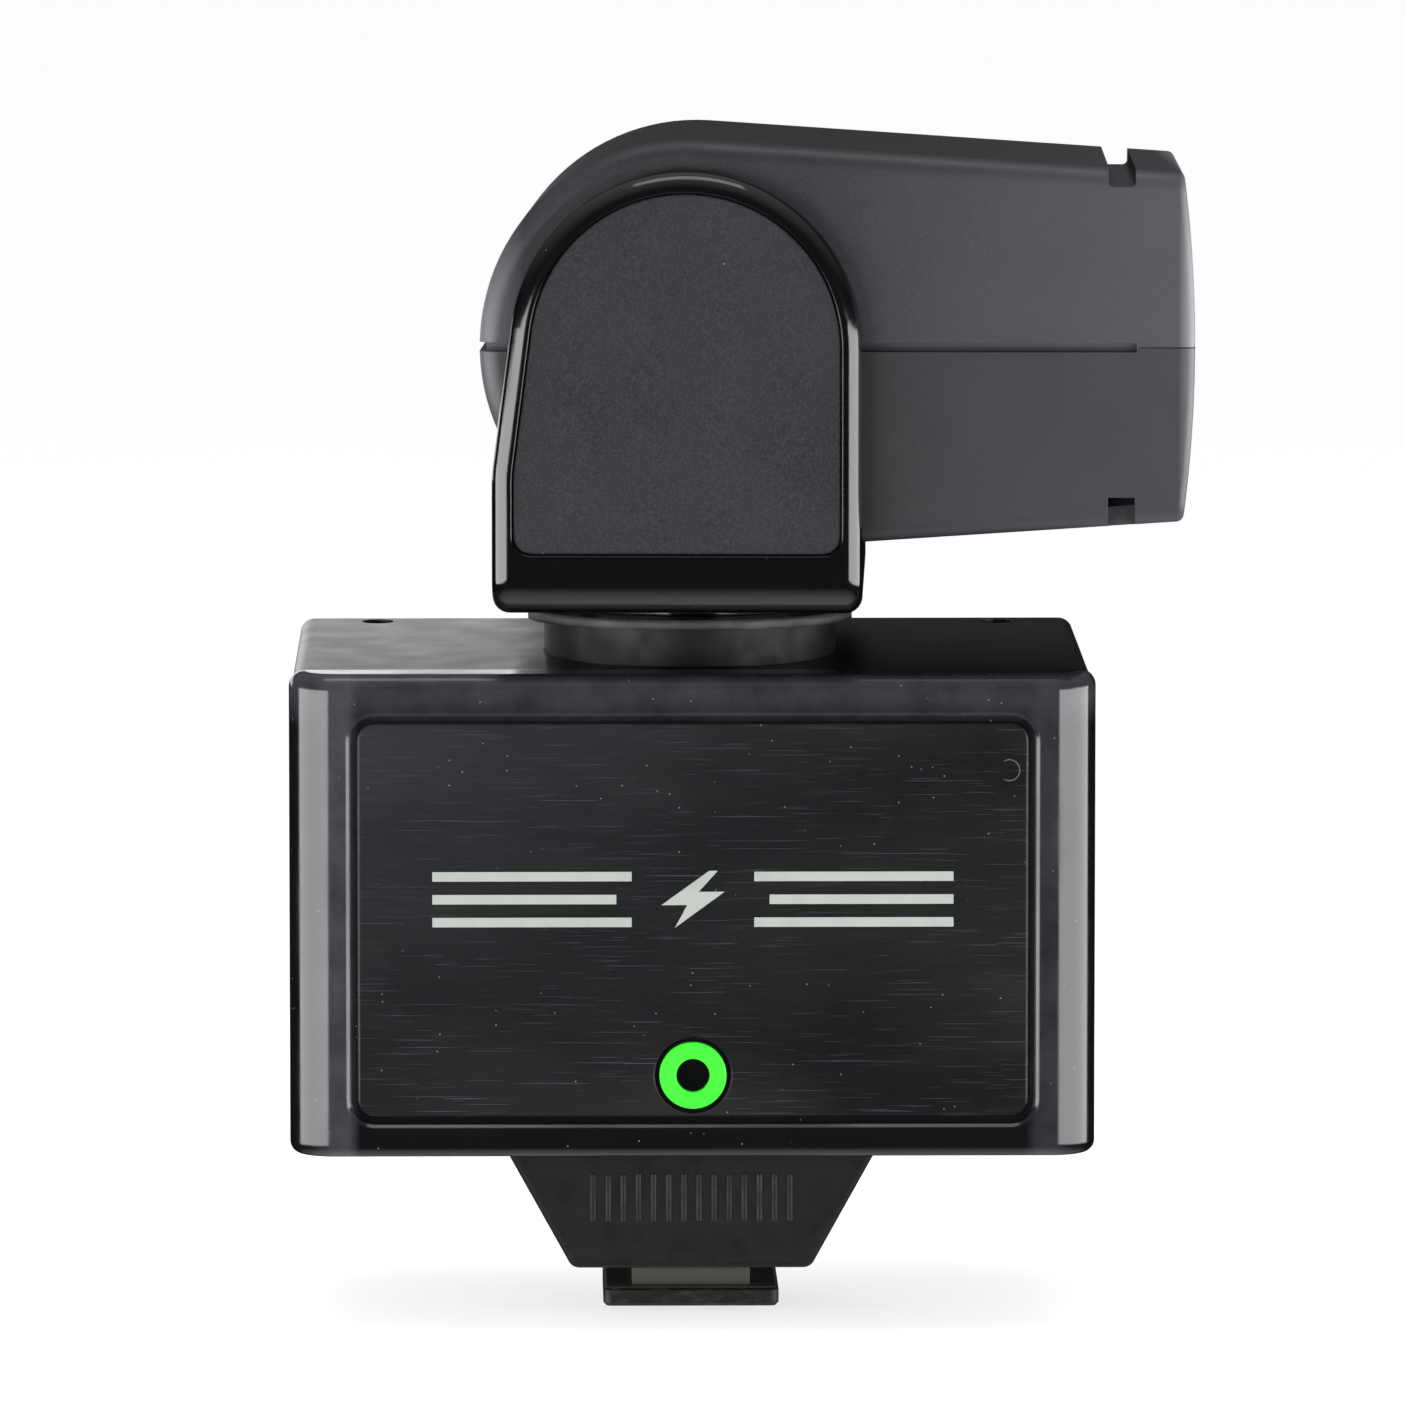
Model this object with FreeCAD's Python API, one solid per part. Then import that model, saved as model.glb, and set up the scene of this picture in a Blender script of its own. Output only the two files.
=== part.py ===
"""Speedlight flash with a tilting and swivelling head. Millimetres, +Z up, the front of the case faces -Y.

The origin is the centre of the foot's underside. The head is stored turned a quarter to +X, 2 degrees
short of square: yoke and head are built square and turned by STORED_TURN when they are written.
"""

import FreeCAD, Part
import math
import os

V = FreeCAD.Vector
X, Y, Z = V(1, 0, 0), V(0, 1, 0), V(0, 0, 1)

# ---- driving dimensions ----
# foot, after the standard accessory shoe
FOOT_W, FOOT_L, FOOT_T = 18.6, 18.0, 2.05
NECK_W, NECK_L, RAIL_GAP = 12.5, 14.0, 2.3

# shoe block under the case
BLOCK_HALF_LOW, BLOCK_HALF_TOP = 12.6, 20.3
BLOCK_FRONT, BLOCK_REAR = -11.0, 14.0
BLOCK_WALL = 2.05

# case
CASE_W, CASE_LOW, CASE_H = 84.4, 17.9, 50.6
CASE_FRONT, CASE_REAR = -24.0, 28.0
COVER_DEPTH = 5.0
TOP_SLOPE = 2.3                      # degrees, rising towards the rear
WALL = 2.0
COVER_FACE = 2.6                     # thickness of the front cover's face
STEP_IN = 0.3                        # the rear case is this much smaller all round
PLATE_SIDE, PLATE_UNDER, PLATE_OVER = 6.4, 3.5, 4.3   # borders of the front's recess
PLATE_CORNER = 2.6
RECESS = 1.0
SENSOR_UP, SENSOR_R = 8.6, 3.5       # height over the case's underside

# battery bay: four AA cells lying along X, two by two
CELL_R, CELL_L, CELL_GAP = 7.2, 50.5, 0.5
TRAY_WALL, TRAY_LIFT = 1.0, 1.4      # the tray stands this far over the case's floor
DOOR_GAP = 0.2

# swivel
SWIVEL_R, NECK_WALL = 11.9, 3.4      # yoke neck, outside, and its wall round the cable
COLLAR_WALL, COLLAR_LEDGE, COLLAR_LIP = 2.0, 1.6, 1.7
COLLAR_HIGH, LIP_T = 5.2, 1.1        # top of the collar over the case, and its lip
STOP_ARC, STOP_LUG = 34.0, 10.5      # half angles in degrees, for 270 degrees of travel
STORED_TURN = -2.0                   # degrees about the swivel axis, off square

# yoke
ARM, YOKE_FLOOR = 3.7, 3.6
ARCH_R = 18.3
YOKE_HEEL, YOKE_KINK = 1.8, 14.7     # the rear edge stands out this far up to this height
RIM, RIM_R = 2.1, 1.8
SIDE_COVER_UP, SIDE_COVER_T = 6.2, 0.9

# head
PIVOT_X = 0.2
HEAD_HALF = 27.0
DRUM_R, HEAD_TAPER = 21.5, 3.8       # taper in degrees, above and below
HEAD_REACH, HEAD_DOME = 51.5, 1.2    # from the pivot to the front corners, and the dome of the front
HEAD_WALL, HEAD_ROUND = 2.0, 2.0
HEAD_SCREW_IN, HEAD_SCREW_X, HEAD_SCREW_X1 = 5.5, 11.5, 13.5
NOTCH_X0, NOTCH_X1 = 43.7, 46.5
GROOVE_DEPTH, NOTCH_DROP = 1.9, 3.0    # across the top, and in the two lower corners
SEAM_H, SEAM_END, SEAM_DEPTH = 0.95, 46.7, 0.8
AXLE_R = 4.95

# clearances
RUN = 0.05                           # radial gap of a pin or shaft that turns or slides
SLIDE = 0.15                         # gap beside a slider
FACE = 0.05                          # gap between two flat faces that rub
HEAD_GAP = 0.3                       # head to each arm of the yoke
DRUM_GAP = 2.5                       # drum to the yoke's floor
YOKE_GAP = 1.6                       # collar to the yoke's underside

# derived
BLOCK_LOW = FOOT_T + RAIL_GAP
BLOCK_FLOOR = BLOCK_LOW + BLOCK_WALL
PART_Y = CASE_FRONT + COVER_DEPTH    # parting plane of cover and rear case
SLOPE = math.tan(math.radians(TOP_SLOPE))
CASE_TOP = CASE_LOW + CASE_H
HALF_W = CASE_W / 2
SIDE_IN = HALF_W - STEP_IN - WALL    # inner face of the side walls
FLOOR_IN = CASE_LOW + STEP_IN + WALL
CEILING = CASE_TOP - STEP_IN - WALL + 0.1
REAR_IN = CASE_REAR - WALL
PLATE_HALF = HALF_W - PLATE_SIDE
PLATE_LOW, PLATE_TOP = CASE_LOW + PLATE_UNDER, CASE_TOP - PLATE_OVER
SENSOR_Z = CASE_LOW + SENSOR_UP
CELL_PITCH = 2 * CELL_R + CELL_GAP
CELL_END = SIDE_IN - 0.8
BAY_Z = FLOOR_IN + TRAY_LIFT + TRAY_WALL + CELL_PITCH
CABLE_R = SWIVEL_R - NECK_WALL
COLLAR_TUBE_R = SWIVEL_R + COLLAR_WALL
COLLAR_R = COLLAR_TUBE_R + COLLAR_LEDGE
COLLAR_TOP = CASE_TOP + COLLAR_HIGH
YOKE_LOW = COLLAR_TOP + YOKE_GAP
YOKE_HALF = HEAD_HALF + HEAD_GAP + ARM
YOKE_REAR, YOKE_KINK_Z = PIVOT_X - ARCH_R - YOKE_HEEL, YOKE_LOW + YOKE_KINK
SIDE_COVER_LOW = YOKE_LOW + SIDE_COVER_UP
PIVOT_Z = YOKE_LOW + YOKE_FLOOR + DRUM_GAP + DRUM_R
TRAY_IN = 2 * CELL_PITCH
BAY_Y = REAR_IN - TRAY_WALL - CELL_PITCH
DOOR_AXIS_X, DOOR_AXIS_Y = SIDE_IN + WALL / 2, REAR_IN
ARM_IN = YOKE_HALF - ARM
COVER_SEAT = YOKE_HALF - 1.2
ROW_Z = CASE_TOP - 8.5               # height of the row of controls at the rear
PANEL_T = 0.8


def box(x0, x1, y0, y1, z0, z1):
    return Part.makeBox(x1 - x0, y1 - y0, z1 - z0, V(x0, y0, z0))


def rod(start, axis, radius, length):
    return Part.makeCylinder(radius, length, start, axis)


def ring(start, axis, outer, inner, length):
    return rod(start, axis, outer, length).cut(rod(start, axis, inner, length))


def xz_face(points, y):
    return Part.Face(Part.makePolygon([V(x, y, z) for x, z in points + points[:1]]))


def xz_prism(points, y0, y1):
    return xz_face(points, y0).extrude(V(0, y1 - y0, 0))


def join(shapes):
    first, rest = shapes[0], shapes[1:]
    return first.multiFuse(rest).removeSplitter() if rest else first


def round_off(shape, radius, wanted):
    """Fillet the edges whose box passes the test: wanted(box) is true for each edge to round."""
    return shape.makeFillet(radius, [e for e in shape.Edges if wanted(e.BoundBox)])


def bevel(shape, size, wanted):
    return shape.makeChamfer(size, [e for e in shape.Edges if wanted(e.BoundBox)])


def plate_y(x0, x1, z0, z1, corner, y0, y1):
    """A plate standing across Y with rounded corners."""
    body = box(x0, x1, y0, y1, z0, z1)
    return body.makeFillet(corner, [e for e in body.Edges if e.BoundBox.YLength > (y1 - y0) * 0.9])


def coil(centre, axis, radius, wire, length, turns):
    """A compression spring from centre along axis; length counts its outer faces."""
    rise = length - 2 * wire
    helix = Part.makeHelix(rise / turns, rise, radius)
    section = Part.Wire([Part.makeCircle(wire, V(radius, 0, 0), V(0, 1, rise / turns / 6.3 / radius))])
    spring = Part.Wire(helix.Edges).makePipeShell([section], True, True)
    spring.translate(V(0, 0, wire))
    spring.Placement = FreeCAD.Placement(centre, FreeCAD.Rotation(Z, axis)).multiply(spring.Placement)
    return spring


def screw(seat, axis, head_r, head_h, shaft_r, length):
    """A pan-head screw. seat is under the head, axis points from the tip to the head."""
    head = rod(seat, axis, head_r, head_h)
    head = head.makeFillet(head_h * 0.35, [e for e in head.Edges if e.Closed
                                           and (e.CenterOfMass - seat).dot(axis) > head_h * 0.9])
    slot = rod(seat + axis * head_h * 0.45, axis, head_r * 0.42, head_h)
    return join([head.cut(slot), rod(seat - axis * length, axis, shaft_r, length)])


def group(solids):
    return Part.makeCompound(solids)


# ---- foot and shoe block ----
LOCK_Y, LOCK_R = -5.0, 1.0
SYNC_R = 1.2
FOOT_SCREWS = [(x, y) for x in (-4.6, 4.6) for y in (-3.2, 5.0)]
BLOCK_SCREW_X = BLOCK_HALF_LOW + 2.6
BLOCK_SCREWS = [(x, y) for x in (-BLOCK_SCREW_X, BLOCK_SCREW_X)
                for y in (BLOCK_FRONT + 4.8, BLOCK_REAR - 5.2)]


def foot():
    plate = box(-FOOT_W / 2, FOOT_W / 2, -FOOT_L / 2, FOOT_L / 2, 0, FOOT_T)
    plate = round_off(plate, 0.9, lambda b: b.ZLength > FOOT_T * 0.9)
    plate = bevel(plate, 0.35, lambda b: b.ZLength < 0.01)
    neck = box(-NECK_W / 2, NECK_W / 2, -NECK_L / 2, NECK_L / 2, FOOT_T - 0.5, BLOCK_LOW)
    body = join([plate, neck])
    body = body.cut(rod(V(0, LOCK_Y, -1), Z, LOCK_R + RUN, 9))
    body = body.cut(rod(V(0, 0, -1), Z, SYNC_R + RUN, 9))
    for x, y in FOOT_SCREWS:
        body = body.cut(rod(V(x, y, FOOT_T * 0.6), Z, 0.8, 9))
    return body


def block_profile(wall, low, top):
    def half(z):
        t = (z - BLOCK_LOW) / (CASE_LOW + STEP_IN - BLOCK_LOW)
        return BLOCK_HALF_LOW + t * (BLOCK_HALF_TOP - BLOCK_HALF_LOW) - wall
    return [(-half(low), low), (half(low), low), (half(top), top), (-half(top), top)]


def shoe_block():
    top = CASE_LOW + STEP_IN
    outer = xz_prism(block_profile(0, BLOCK_LOW, top), BLOCK_FRONT, BLOCK_REAR)
    outer = round_off(outer, 1.3, lambda b: b.YLength > 20 and b.ZMax < BLOCK_LOW + 0.1)
    outer = round_off(outer, 0.6, lambda b: b.ZLength > 9)
    inner = xz_prism(block_profile(1.9, BLOCK_FLOOR, top + 1), BLOCK_FRONT + WALL, BLOCK_REAR - WALL)
    posts = join([rod(V(x, y, BLOCK_FLOOR + 3.6), Z, 2.7, top - BLOCK_FLOOR - 3.6)
                  for x, y in BLOCK_SCREWS]).common(outer)
    body = join([outer.cut(inner), posts])
    for x, y in BLOCK_SCREWS:
        body = body.cut(rod(V(x, y, BLOCK_FLOOR + 5), Z, 1.1, 20))
    for x, y in FOOT_SCREWS:
        body = body.cut(rod(V(x, y, 0), Z, 0.85, 9))
    body = body.cut(rod(V(0, LOCK_Y, 0), Z, LOCK_R + RUN, 9))
    body = body.cut(rod(V(0, 0, 0), Z, SYNC_R + RUN, 9))
    slot = LEVER_STEM / 2 + SLIDE
    return body.cut(box(LEVER_X - slot, LEVER_X + slot + LEVER_TRAVEL, BLOCK_REAR - 3, BLOCK_REAR + 1,
                        LEVER_Z - 1.4, LEVER_Z + 1.4))


def foot_screws():
    return group([screw(V(x, y, BLOCK_FLOOR), Z, 1.5, 1.0, 0.8, BLOCK_FLOOR - FOOT_T * 0.6)
                  for x, y in FOOT_SCREWS])


def block_screws():
    return group([screw(V(x, y, FLOOR_IN), Z, 2.1, 1.1, 1.1, FLOOR_IN - BLOCK_FLOOR - 5)
                  for x, y in BLOCK_SCREWS])


# lock lever: slides along X, its ramp drives the lock pin down
LEVER_X, LEVER_Z, LEVER_STEM, LEVER_TRAVEL = -3.0, 13.6, 4.0, 6.0
RAMP = 0.2                           # pin drop for each millimetre of lever travel
RAMP_Z = 12.0                        # underside of the ramp above the pin at rest
PIN_HEAD = 1.5
PIN_TOP = RAMP_Z - RAMP * PIN_HEAD - 0.1
CONTACT_BRIDGE_Z = 10.3


def lock_lever():
    knob = box(LEVER_X - 3.2, LEVER_X + 3.2, BLOCK_REAR + 0.2, BLOCK_REAR + 3.6,
               LEVER_Z - 2.4, LEVER_Z + 2.4)
    knob = round_off(knob, 0.7, lambda b: b.YMin > BLOCK_REAR + 3)
    for i in range(4):
        x = LEVER_X - 2.1 + 1.4 * i
        knob = knob.cut(box(x - 0.25, x + 0.25, BLOCK_REAR + 3.1, BLOCK_REAR + 4,
                            LEVER_Z - 3, LEVER_Z + 3))
    half = LEVER_STEM / 2
    stem = box(LEVER_X - half, LEVER_X + half, BLOCK_REAR - 3.5, BLOCK_REAR + 0.3,
               LEVER_Z - 1.25, LEVER_Z + 1.25)
    inner = BLOCK_REAR - WALL - SLIDE
    bar = box(LEVER_X - 6, LEVER_X + 6, inner - 1.4, inner, LEVER_Z - 1.6, LEVER_Z + 2.2)
    ramp = xz_prism([(-LEVER_TRAVEL - PIN_HEAD, RAMP_Z - RAMP * (LEVER_TRAVEL + PIN_HEAD)),
                     (PIN_HEAD, RAMP_Z + RAMP * PIN_HEAD), (PIN_HEAD, LEVER_Z + 2),
                     (-LEVER_TRAVEL - PIN_HEAD, LEVER_Z + 2)], LOCK_Y - PIN_HEAD, LOCK_Y + PIN_HEAD)
    arm = box(-LEVER_TRAVEL, PIN_HEAD, LOCK_Y, inner, LEVER_Z + 0.4, LEVER_Z + 2)
    return join([knob, stem, bar, ramp, arm])


def lock_pin():
    shaft = rod(V(0, LOCK_Y, 0.15), Z, LOCK_R, PIN_TOP - 1 - 0.15)
    shaft = bevel(shaft, 0.25, lambda b: b.ZMax < 0.2)
    return join([shaft, rod(V(0, LOCK_Y, PIN_TOP - 1.2), Z, PIN_HEAD, 1.2)])


def lock_spring():
    return coil(V(0, LOCK_Y, BLOCK_FLOOR), Z, 1.32, 0.16, PIN_TOP - 1.2 - BLOCK_FLOOR, 5)


def sync_pin():
    shaft = rod(V(0, 0, -0.5), Z, SYNC_R, BLOCK_FLOOR + 0.6)
    shaft = round_off(shaft, 0.4, lambda b: b.ZMax < 0)
    return join([shaft, rod(V(0, 0, BLOCK_FLOOR + FACE), Z, 2.0, 0.6)])


def sync_spring():
    low = BLOCK_FLOOR + FACE + 0.6
    return coil(V(0, 0, low), Z, 1.4, 0.2, CONTACT_BRIDGE_Z - low, 3)


def contact_bridge():
    """Bent strip over the sync pin: it takes the spring's push and the firing current."""
    top = box(-7.5, 7.5, -1.9, 1.9, CONTACT_BRIDGE_Z, CONTACT_BRIDGE_Z + 0.5)
    legs = [box(x, x + 0.5, -1.9, 1.9, BLOCK_FLOOR, CONTACT_BRIDGE_Z + 0.5) for x in (-7.5, 7.0)]
    feet = [box(x, x + 2.2, -1.9, 1.9, BLOCK_FLOOR, BLOCK_FLOOR + 0.5) for x in (-9.7, 7.5)]
    return join([top] + legs + feet)


# ---- case ----
def case_block(inset, y0, y1):
    def top(y):
        return CASE_TOP + SLOPE * (y - CASE_FRONT) - inset
    low, half = CASE_LOW + inset, HALF_W - inset
    points = [V(-half, y0, low), V(-half, y1, low), V(-half, y1, top(y1)), V(-half, y0, top(y0))]
    return Part.Face(Part.makePolygon(points + points[:1])).extrude(V(2 * half, 0, 0))


BOARD_HALF, BOARD_LOW, BOARD_TOP = HALF_W - 12.7, CASE_LOW + 4.1, CASE_TOP - 8.7
BOARD_Y, BOARD_T = PART_Y + 3.8, 1.6
BOARD_POSTS = [(x, z) for x in (3 - BOARD_HALF, BOARD_HALF - 3) for z in (BOARD_LOW + 4, BOARD_TOP - 4.8)]
LUG_X, LUG_Y = HALF_W - 8.2, PART_Y + 2.6    # screw lugs of the front cover


def front_cover():
    body = case_block(0, CASE_FRONT, PART_Y)
    body = round_off(body, COVER_DEPTH - 0.2, lambda b: b.YMax < CASE_FRONT + 0.1 and b.ZLength > 40)
    low, high = CASE_LOW + 0.01, CASE_TOP - 0.01
    body = round_off(body, 1.65, lambda b: b.ZMin > high and b.YMin < PART_Y - 0.1)
    body = round_off(body, 1.3, lambda b: b.ZMax < low and b.YMin < PART_Y - 0.1)
    inner = box(-HALF_W + WALL, HALF_W - WALL, CASE_FRONT + COVER_FACE, PART_Y + 1,
                CASE_LOW + WALL, CASE_TOP - WALL)
    inner = round_off(inner, COVER_DEPTH - 0.2 - WALL,
                      lambda b: b.YMax < PART_Y and b.ZLength > 40)
    recess = plate_y(-PLATE_HALF, PLATE_HALF, PLATE_LOW, PLATE_TOP, PLATE_CORNER,
                     CASE_FRONT - 1, CASE_FRONT + RECESS)
    body = body.cut(inner).cut(recess)
    body = bevel(body, 0.35, lambda b: b.YMax < CASE_FRONT + 0.01 and b.YLength < 0.01
                 and b.XMax < PLATE_HALF + 0.1 and b.XMin > -PLATE_HALF - 0.1
                 and b.ZMin > PLATE_LOW - 0.1 and b.ZMax < PLATE_TOP + 0.1)
    back = CASE_FRONT + COVER_FACE
    posts = [rod(V(x, back - 0.5, z), Y, 2.4, BOARD_Y - back + 0.5) for x, z in BOARD_POSTS]
    lugs = [box(s * LUG_X - 3, s * LUG_X + 3, back - 0.5, LUG_Y + 2.6, FLOOR_IN, FLOOR_IN + 6.5)
            for s in (-1, 1)]
    body = join([body] + posts + lugs)
    for s in (-1, 1):
        body = body.cut(rod(V(s * LUG_X, LUG_Y, FLOOR_IN - 1), Z, 0.9, 6.5))
    return body.cut(rod(V(0, CASE_FRONT - 1, SENSOR_Z), Y, 2.6, 9))


PLATE_GAP = 0.7


def name_plate():
    front = CASE_FRONT + RECESS - 0.5
    plate = plate_y(-PLATE_HALF + PLATE_GAP, PLATE_HALF - PLATE_GAP, PLATE_LOW + PLATE_GAP,
                    PLATE_TOP - PLATE_GAP, PLATE_CORNER - PLATE_GAP, front, CASE_FRONT + RECESS)
    plate = bevel(plate, 0.2, lambda b: b.YMax < front + 0.01)
    return plate.cut(rod(V(0, front - 1, SENSOR_Z), Y, SENSOR_R + 0.5, 9))


def sensor_ring():
    body = ring(V(0, CASE_FRONT + 0.2, SENSOR_Z), Y, SENSOR_R, SENSOR_R / 2, RECESS - 0.2)
    return bevel(body, 0.12, lambda b: b.YMax < CASE_FRONT + 0.21)


def sensor_cell():
    lens = rod(V(0, CASE_FRONT + RECESS + 0.3, SENSOR_Z), Y, 2.5, BOARD_Y - CASE_FRONT - RECESS - 0.3)
    return round_off(lens, 0.8, lambda b: b.YMax < CASE_FRONT + RECESS + 0.4)


TOP_SCREW_X, TOP_SCREW_Y = HALF_W - 8.7, CASE_REAR - 4.2
POWER_X, POWER_TRAVEL = 23.0, 4.0
MODE_X, MODE_TRAVEL = -23.0, 6.0
TEST_X, TEST_R, TEST_TRAVEL = 4.0, 3.4, 1.2
LAMP_X, LAMP_R = -6.0, 2.0
KNOB_HALF, STEM_HALF = 2.2, 1.5
CONTROL_PANEL_HALF, CONTROL_PANEL_LOW = HALF_W - 6.2, CASE_LOW + 6.1


def switch_slot(x, travel, y0, y1):
    gap = STEM_HALF + SLIDE
    return box(x - gap, x + gap + travel, y0, y1, ROW_Z - 1.15, ROW_Z + 1.15)


def rear_case():
    body = case_block(STEP_IN, PART_Y, CASE_REAR)
    body = round_off(body, 1.5, lambda b: b.YLength > 40)
    body = round_off(body, 1.5, lambda b: b.YMin > CASE_REAR - 0.1)
    inner = box(-SIDE_IN, SIDE_IN, PART_Y - 1, REAR_IN, FLOOR_IN, CEILING)
    body = body.cut(inner)
    tools = [rod(V(0, 0, COLLAR_SEAT), Z, COLLAR_R + FACE, 20),
             rod(V(0, 0, BORE_Z), Z, COLLAR_TUBE_R, BORE_L)]
    # battery door opening and the groove of its hinge
    tools.append(box(SIDE_IN - 1, HALF_W + 1, BAY_Y - CELL_PITCH - DOOR_GAP, DOOR_AXIS_Y,
                     BAY_Z - DOOR_HALF - DOOR_GAP, BAY_Z + DOOR_HALF + DOOR_GAP))
    sweep = math.hypot(WALL / 2, WALL / 2) + DOOR_GAP      # the door's outer edge swings past this
    tools.append(rod(V(DOOR_AXIS_X, DOOR_AXIS_Y, BAY_Z - DOOR_HALF - DOOR_GAP), Z, sweep,
                     2 * (DOOR_HALF + DOOR_GAP)))
    tools.append(rod(V(DOOR_AXIS_X, DOOR_AXIS_Y, BAY_Z - HINGE_PIN_L / 2), Z, HINGE_PIN_R, HINGE_PIN_L))
    # control panel and what passes through it
    tools.append(plate_y(-CONTROL_PANEL_HALF - 0.1, CONTROL_PANEL_HALF + 0.1, CONTROL_PANEL_LOW - 0.1,
                         CASE_TOP - 2.9, 1.6, CASE_REAR - PANEL_T - 0.1, CASE_REAR + 1))
    tools += [switch_slot(POWER_X, POWER_TRAVEL, REAR_IN - 1, CASE_REAR + 1),
              switch_slot(MODE_X, MODE_TRAVEL, REAR_IN - 1, CASE_REAR + 1),
              rod(V(TEST_X, REAR_IN - 1, ROW_Z), Y, TEST_R + SLIDE, 9),
              rod(V(LAMP_X, REAR_IN - 1, ROW_Z), Y, LAMP_R, 9)]
    for s in (-1, 1):
        tools += [rod(V(s * TOP_SCREW_X, TOP_SCREW_Y, CEILING + 1.6), Z, 1.75, 9),
                  rod(V(s * TOP_SCREW_X, TOP_SCREW_Y, CEILING - 1), Z, 0.95, 9),
                  rod(V(s * LUG_X, LUG_Y, CASE_LOW), Z, 0.95, 9),
                  rod(V(s * LUG_X, LUG_Y, CASE_LOW - 1), Z, 1.75, 1 + STEP_IN + 1.1)]
    tools += [rod(V(x, y, CASE_LOW - 1), Z, 1.15, 9) for x, y in BLOCK_SCREWS]
    return body.cut(Part.makeCompound(tools))


def rear_panel():
    y0, y1 = CASE_REAR - PANEL_T - 0.1, CASE_REAR - 0.1
    plate = plate_y(-CONTROL_PANEL_HALF, CONTROL_PANEL_HALF, CONTROL_PANEL_LOW, CASE_TOP - 3, 1.5, y0, y1)
    return plate.cut(Part.makeCompound([
        switch_slot(POWER_X, POWER_TRAVEL, y0 - 1, y1 + 1), switch_slot(MODE_X, MODE_TRAVEL, y0 - 1, y1 + 1),
        rod(V(TEST_X, y0 - 1, ROW_Z), Y, TEST_R + SLIDE, 3), rod(V(LAMP_X, y0 - 1, ROW_Z), Y, LAMP_R, 3)]))


def slide_switch(x, travel):
    knob = box(x - KNOB_HALF, x + KNOB_HALF, CASE_REAR + FACE, CASE_REAR + 2.1, ROW_Z - 1.9, ROW_Z + 1.9)
    knob = round_off(knob, 0.4, lambda b: b.YMin > CASE_REAR + 2)
    for i in range(3):
        rib = x - 1.1 + 1.1 * i
        knob = knob.cut(box(rib - 0.2, rib + 0.2, CASE_REAR + 1.7, CASE_REAR + 3, ROW_Z - 3, ROW_Z + 3))
    stem = box(x - STEM_HALF, x + STEM_HALF, REAR_IN - 0.5, CASE_REAR + 0.5, ROW_Z - 1, ROW_Z + 1)
    inner = REAR_IN - FACE
    shoe = box(x - STEM_HALF - 1.2, x + STEM_HALF + 1.2, inner - 1.2, inner, ROW_Z - 2.2, ROW_Z + 2.2)
    return join([knob, stem, shoe])


def test_button():
    cap = rod(V(TEST_X, REAR_IN - 0.5, ROW_Z), Y, TEST_R, CASE_REAR - REAR_IN + 2.1)
    cap = round_off(cap, 0.6, lambda b: b.YMin > CASE_REAR + 1)
    return join([cap, rod(V(TEST_X, REAR_IN - FACE - 0.9, ROW_Z), Y, TEST_R + 0.9, 0.9)])


TEST_SEAT = REAR_IN - FACE - 0.9 - 4.0


def test_spring():
    return coil(V(TEST_X, TEST_SEAT, ROW_Z), Y, 2.2, 0.18, 4.0, 5)


def ready_lamp():
    lamp = rod(V(LAMP_X, REAR_IN - 3, ROW_Z), Y, LAMP_R, CASE_REAR - REAR_IN + 3.4)
    return round_off(lamp, 0.9, lambda b: b.YMin > CASE_REAR + 0.3)


FRAME_Z, FRAME_T = BAY_Z + CELL_PITCH + TRAY_WALL, 1.2
CAP_R, CAP_L, CAP_GAP = 11.0, 37.5, 0.2
CAP_X, CAP_Y = CAP_R + CAP_GAP - SIDE_IN, 8.0


def inner_frame():
    """Shelf over the battery tray: it backs the test spring and takes the top screws."""
    plate = box(-SIDE_IN + 0.2, SIDE_IN - 0.2, -4, REAR_IN, FRAME_Z, FRAME_Z + FRAME_T)
    posts = [box(s * TOP_SCREW_X - 2.6, s * TOP_SCREW_X + 2.6, TOP_SCREW_Y - 2.4, REAR_IN,
                 FRAME_Z, CEILING) for s in (-1, 1)]
    stand = box(TEST_X - 3, TEST_X + 3, TEST_SEAT - 1, TEST_SEAT, FRAME_Z, ROW_Z + 3)
    body = join([plate, stand] + posts).cut(rod(V(CAP_X, CAP_Y, 0), Z, CAP_R + 0.3, 90))
    return body.cut(Part.makeCompound([rod(V(s * TOP_SCREW_X, TOP_SCREW_Y, CEILING - 6), Z, 0.9, 9)
                                       for s in (-1, 1)]))


def case_screws():
    top = [screw(V(s * TOP_SCREW_X, TOP_SCREW_Y, CEILING + 1.6), Z, 1.65, 0.9, 0.9, 7.4) for s in (-1, 1)]
    low = [screw(V(s * LUG_X, LUG_Y, CASE_LOW + STEP_IN + 1.1), -Z, 1.65, 0.9, 0.9, 6.3) for s in (-1, 1)]
    return group(top + low)


# ---- power and electronics ----
DOOR_HALF = CELL_PITCH + 0.4
HINGE_PIN_R, HINGE_PIN_L = 0.5, 2 * DOOR_HALF + 4.4


def cell_centres():
    half = CELL_PITCH / 2
    return [(BAY_Y + a * half, BAY_Z + b * half, a * b) for a in (-1, 1) for b in (-1, 1)]


def battery_tray():
    x0 = CELL_END - CELL_L - 2.6
    half, wall = TRAY_IN / 2, TRAY_WALL
    outer = box(x0 - wall, SIDE_IN - 0.3, BAY_Y - half - wall, BAY_Y + half + wall,
                BAY_Z - half - wall, BAY_Z + half + wall)
    return outer.cut(box(x0, SIDE_IN + 1, BAY_Y - half, BAY_Y + half, BAY_Z - half, BAY_Z + half))


def battery_cells():
    cells = []
    for y, z, way in cell_centres():
        nub, start = 1.0, CELL_END - CELL_L
        low = start + (nub if way < 0 else 0)
        can = rod(V(low, y, z), X, CELL_R, CELL_L - nub)
        can = can.makeFillet(0.5, [e for e in can.Edges if e.Closed])
        tip = CELL_END - nub if way > 0 else start
        cells.append(join([can, rod(V(tip if way < 0 else tip - 0.3, y, z), X, 2.75, nub + 0.3)]))
    return group(cells)


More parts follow.
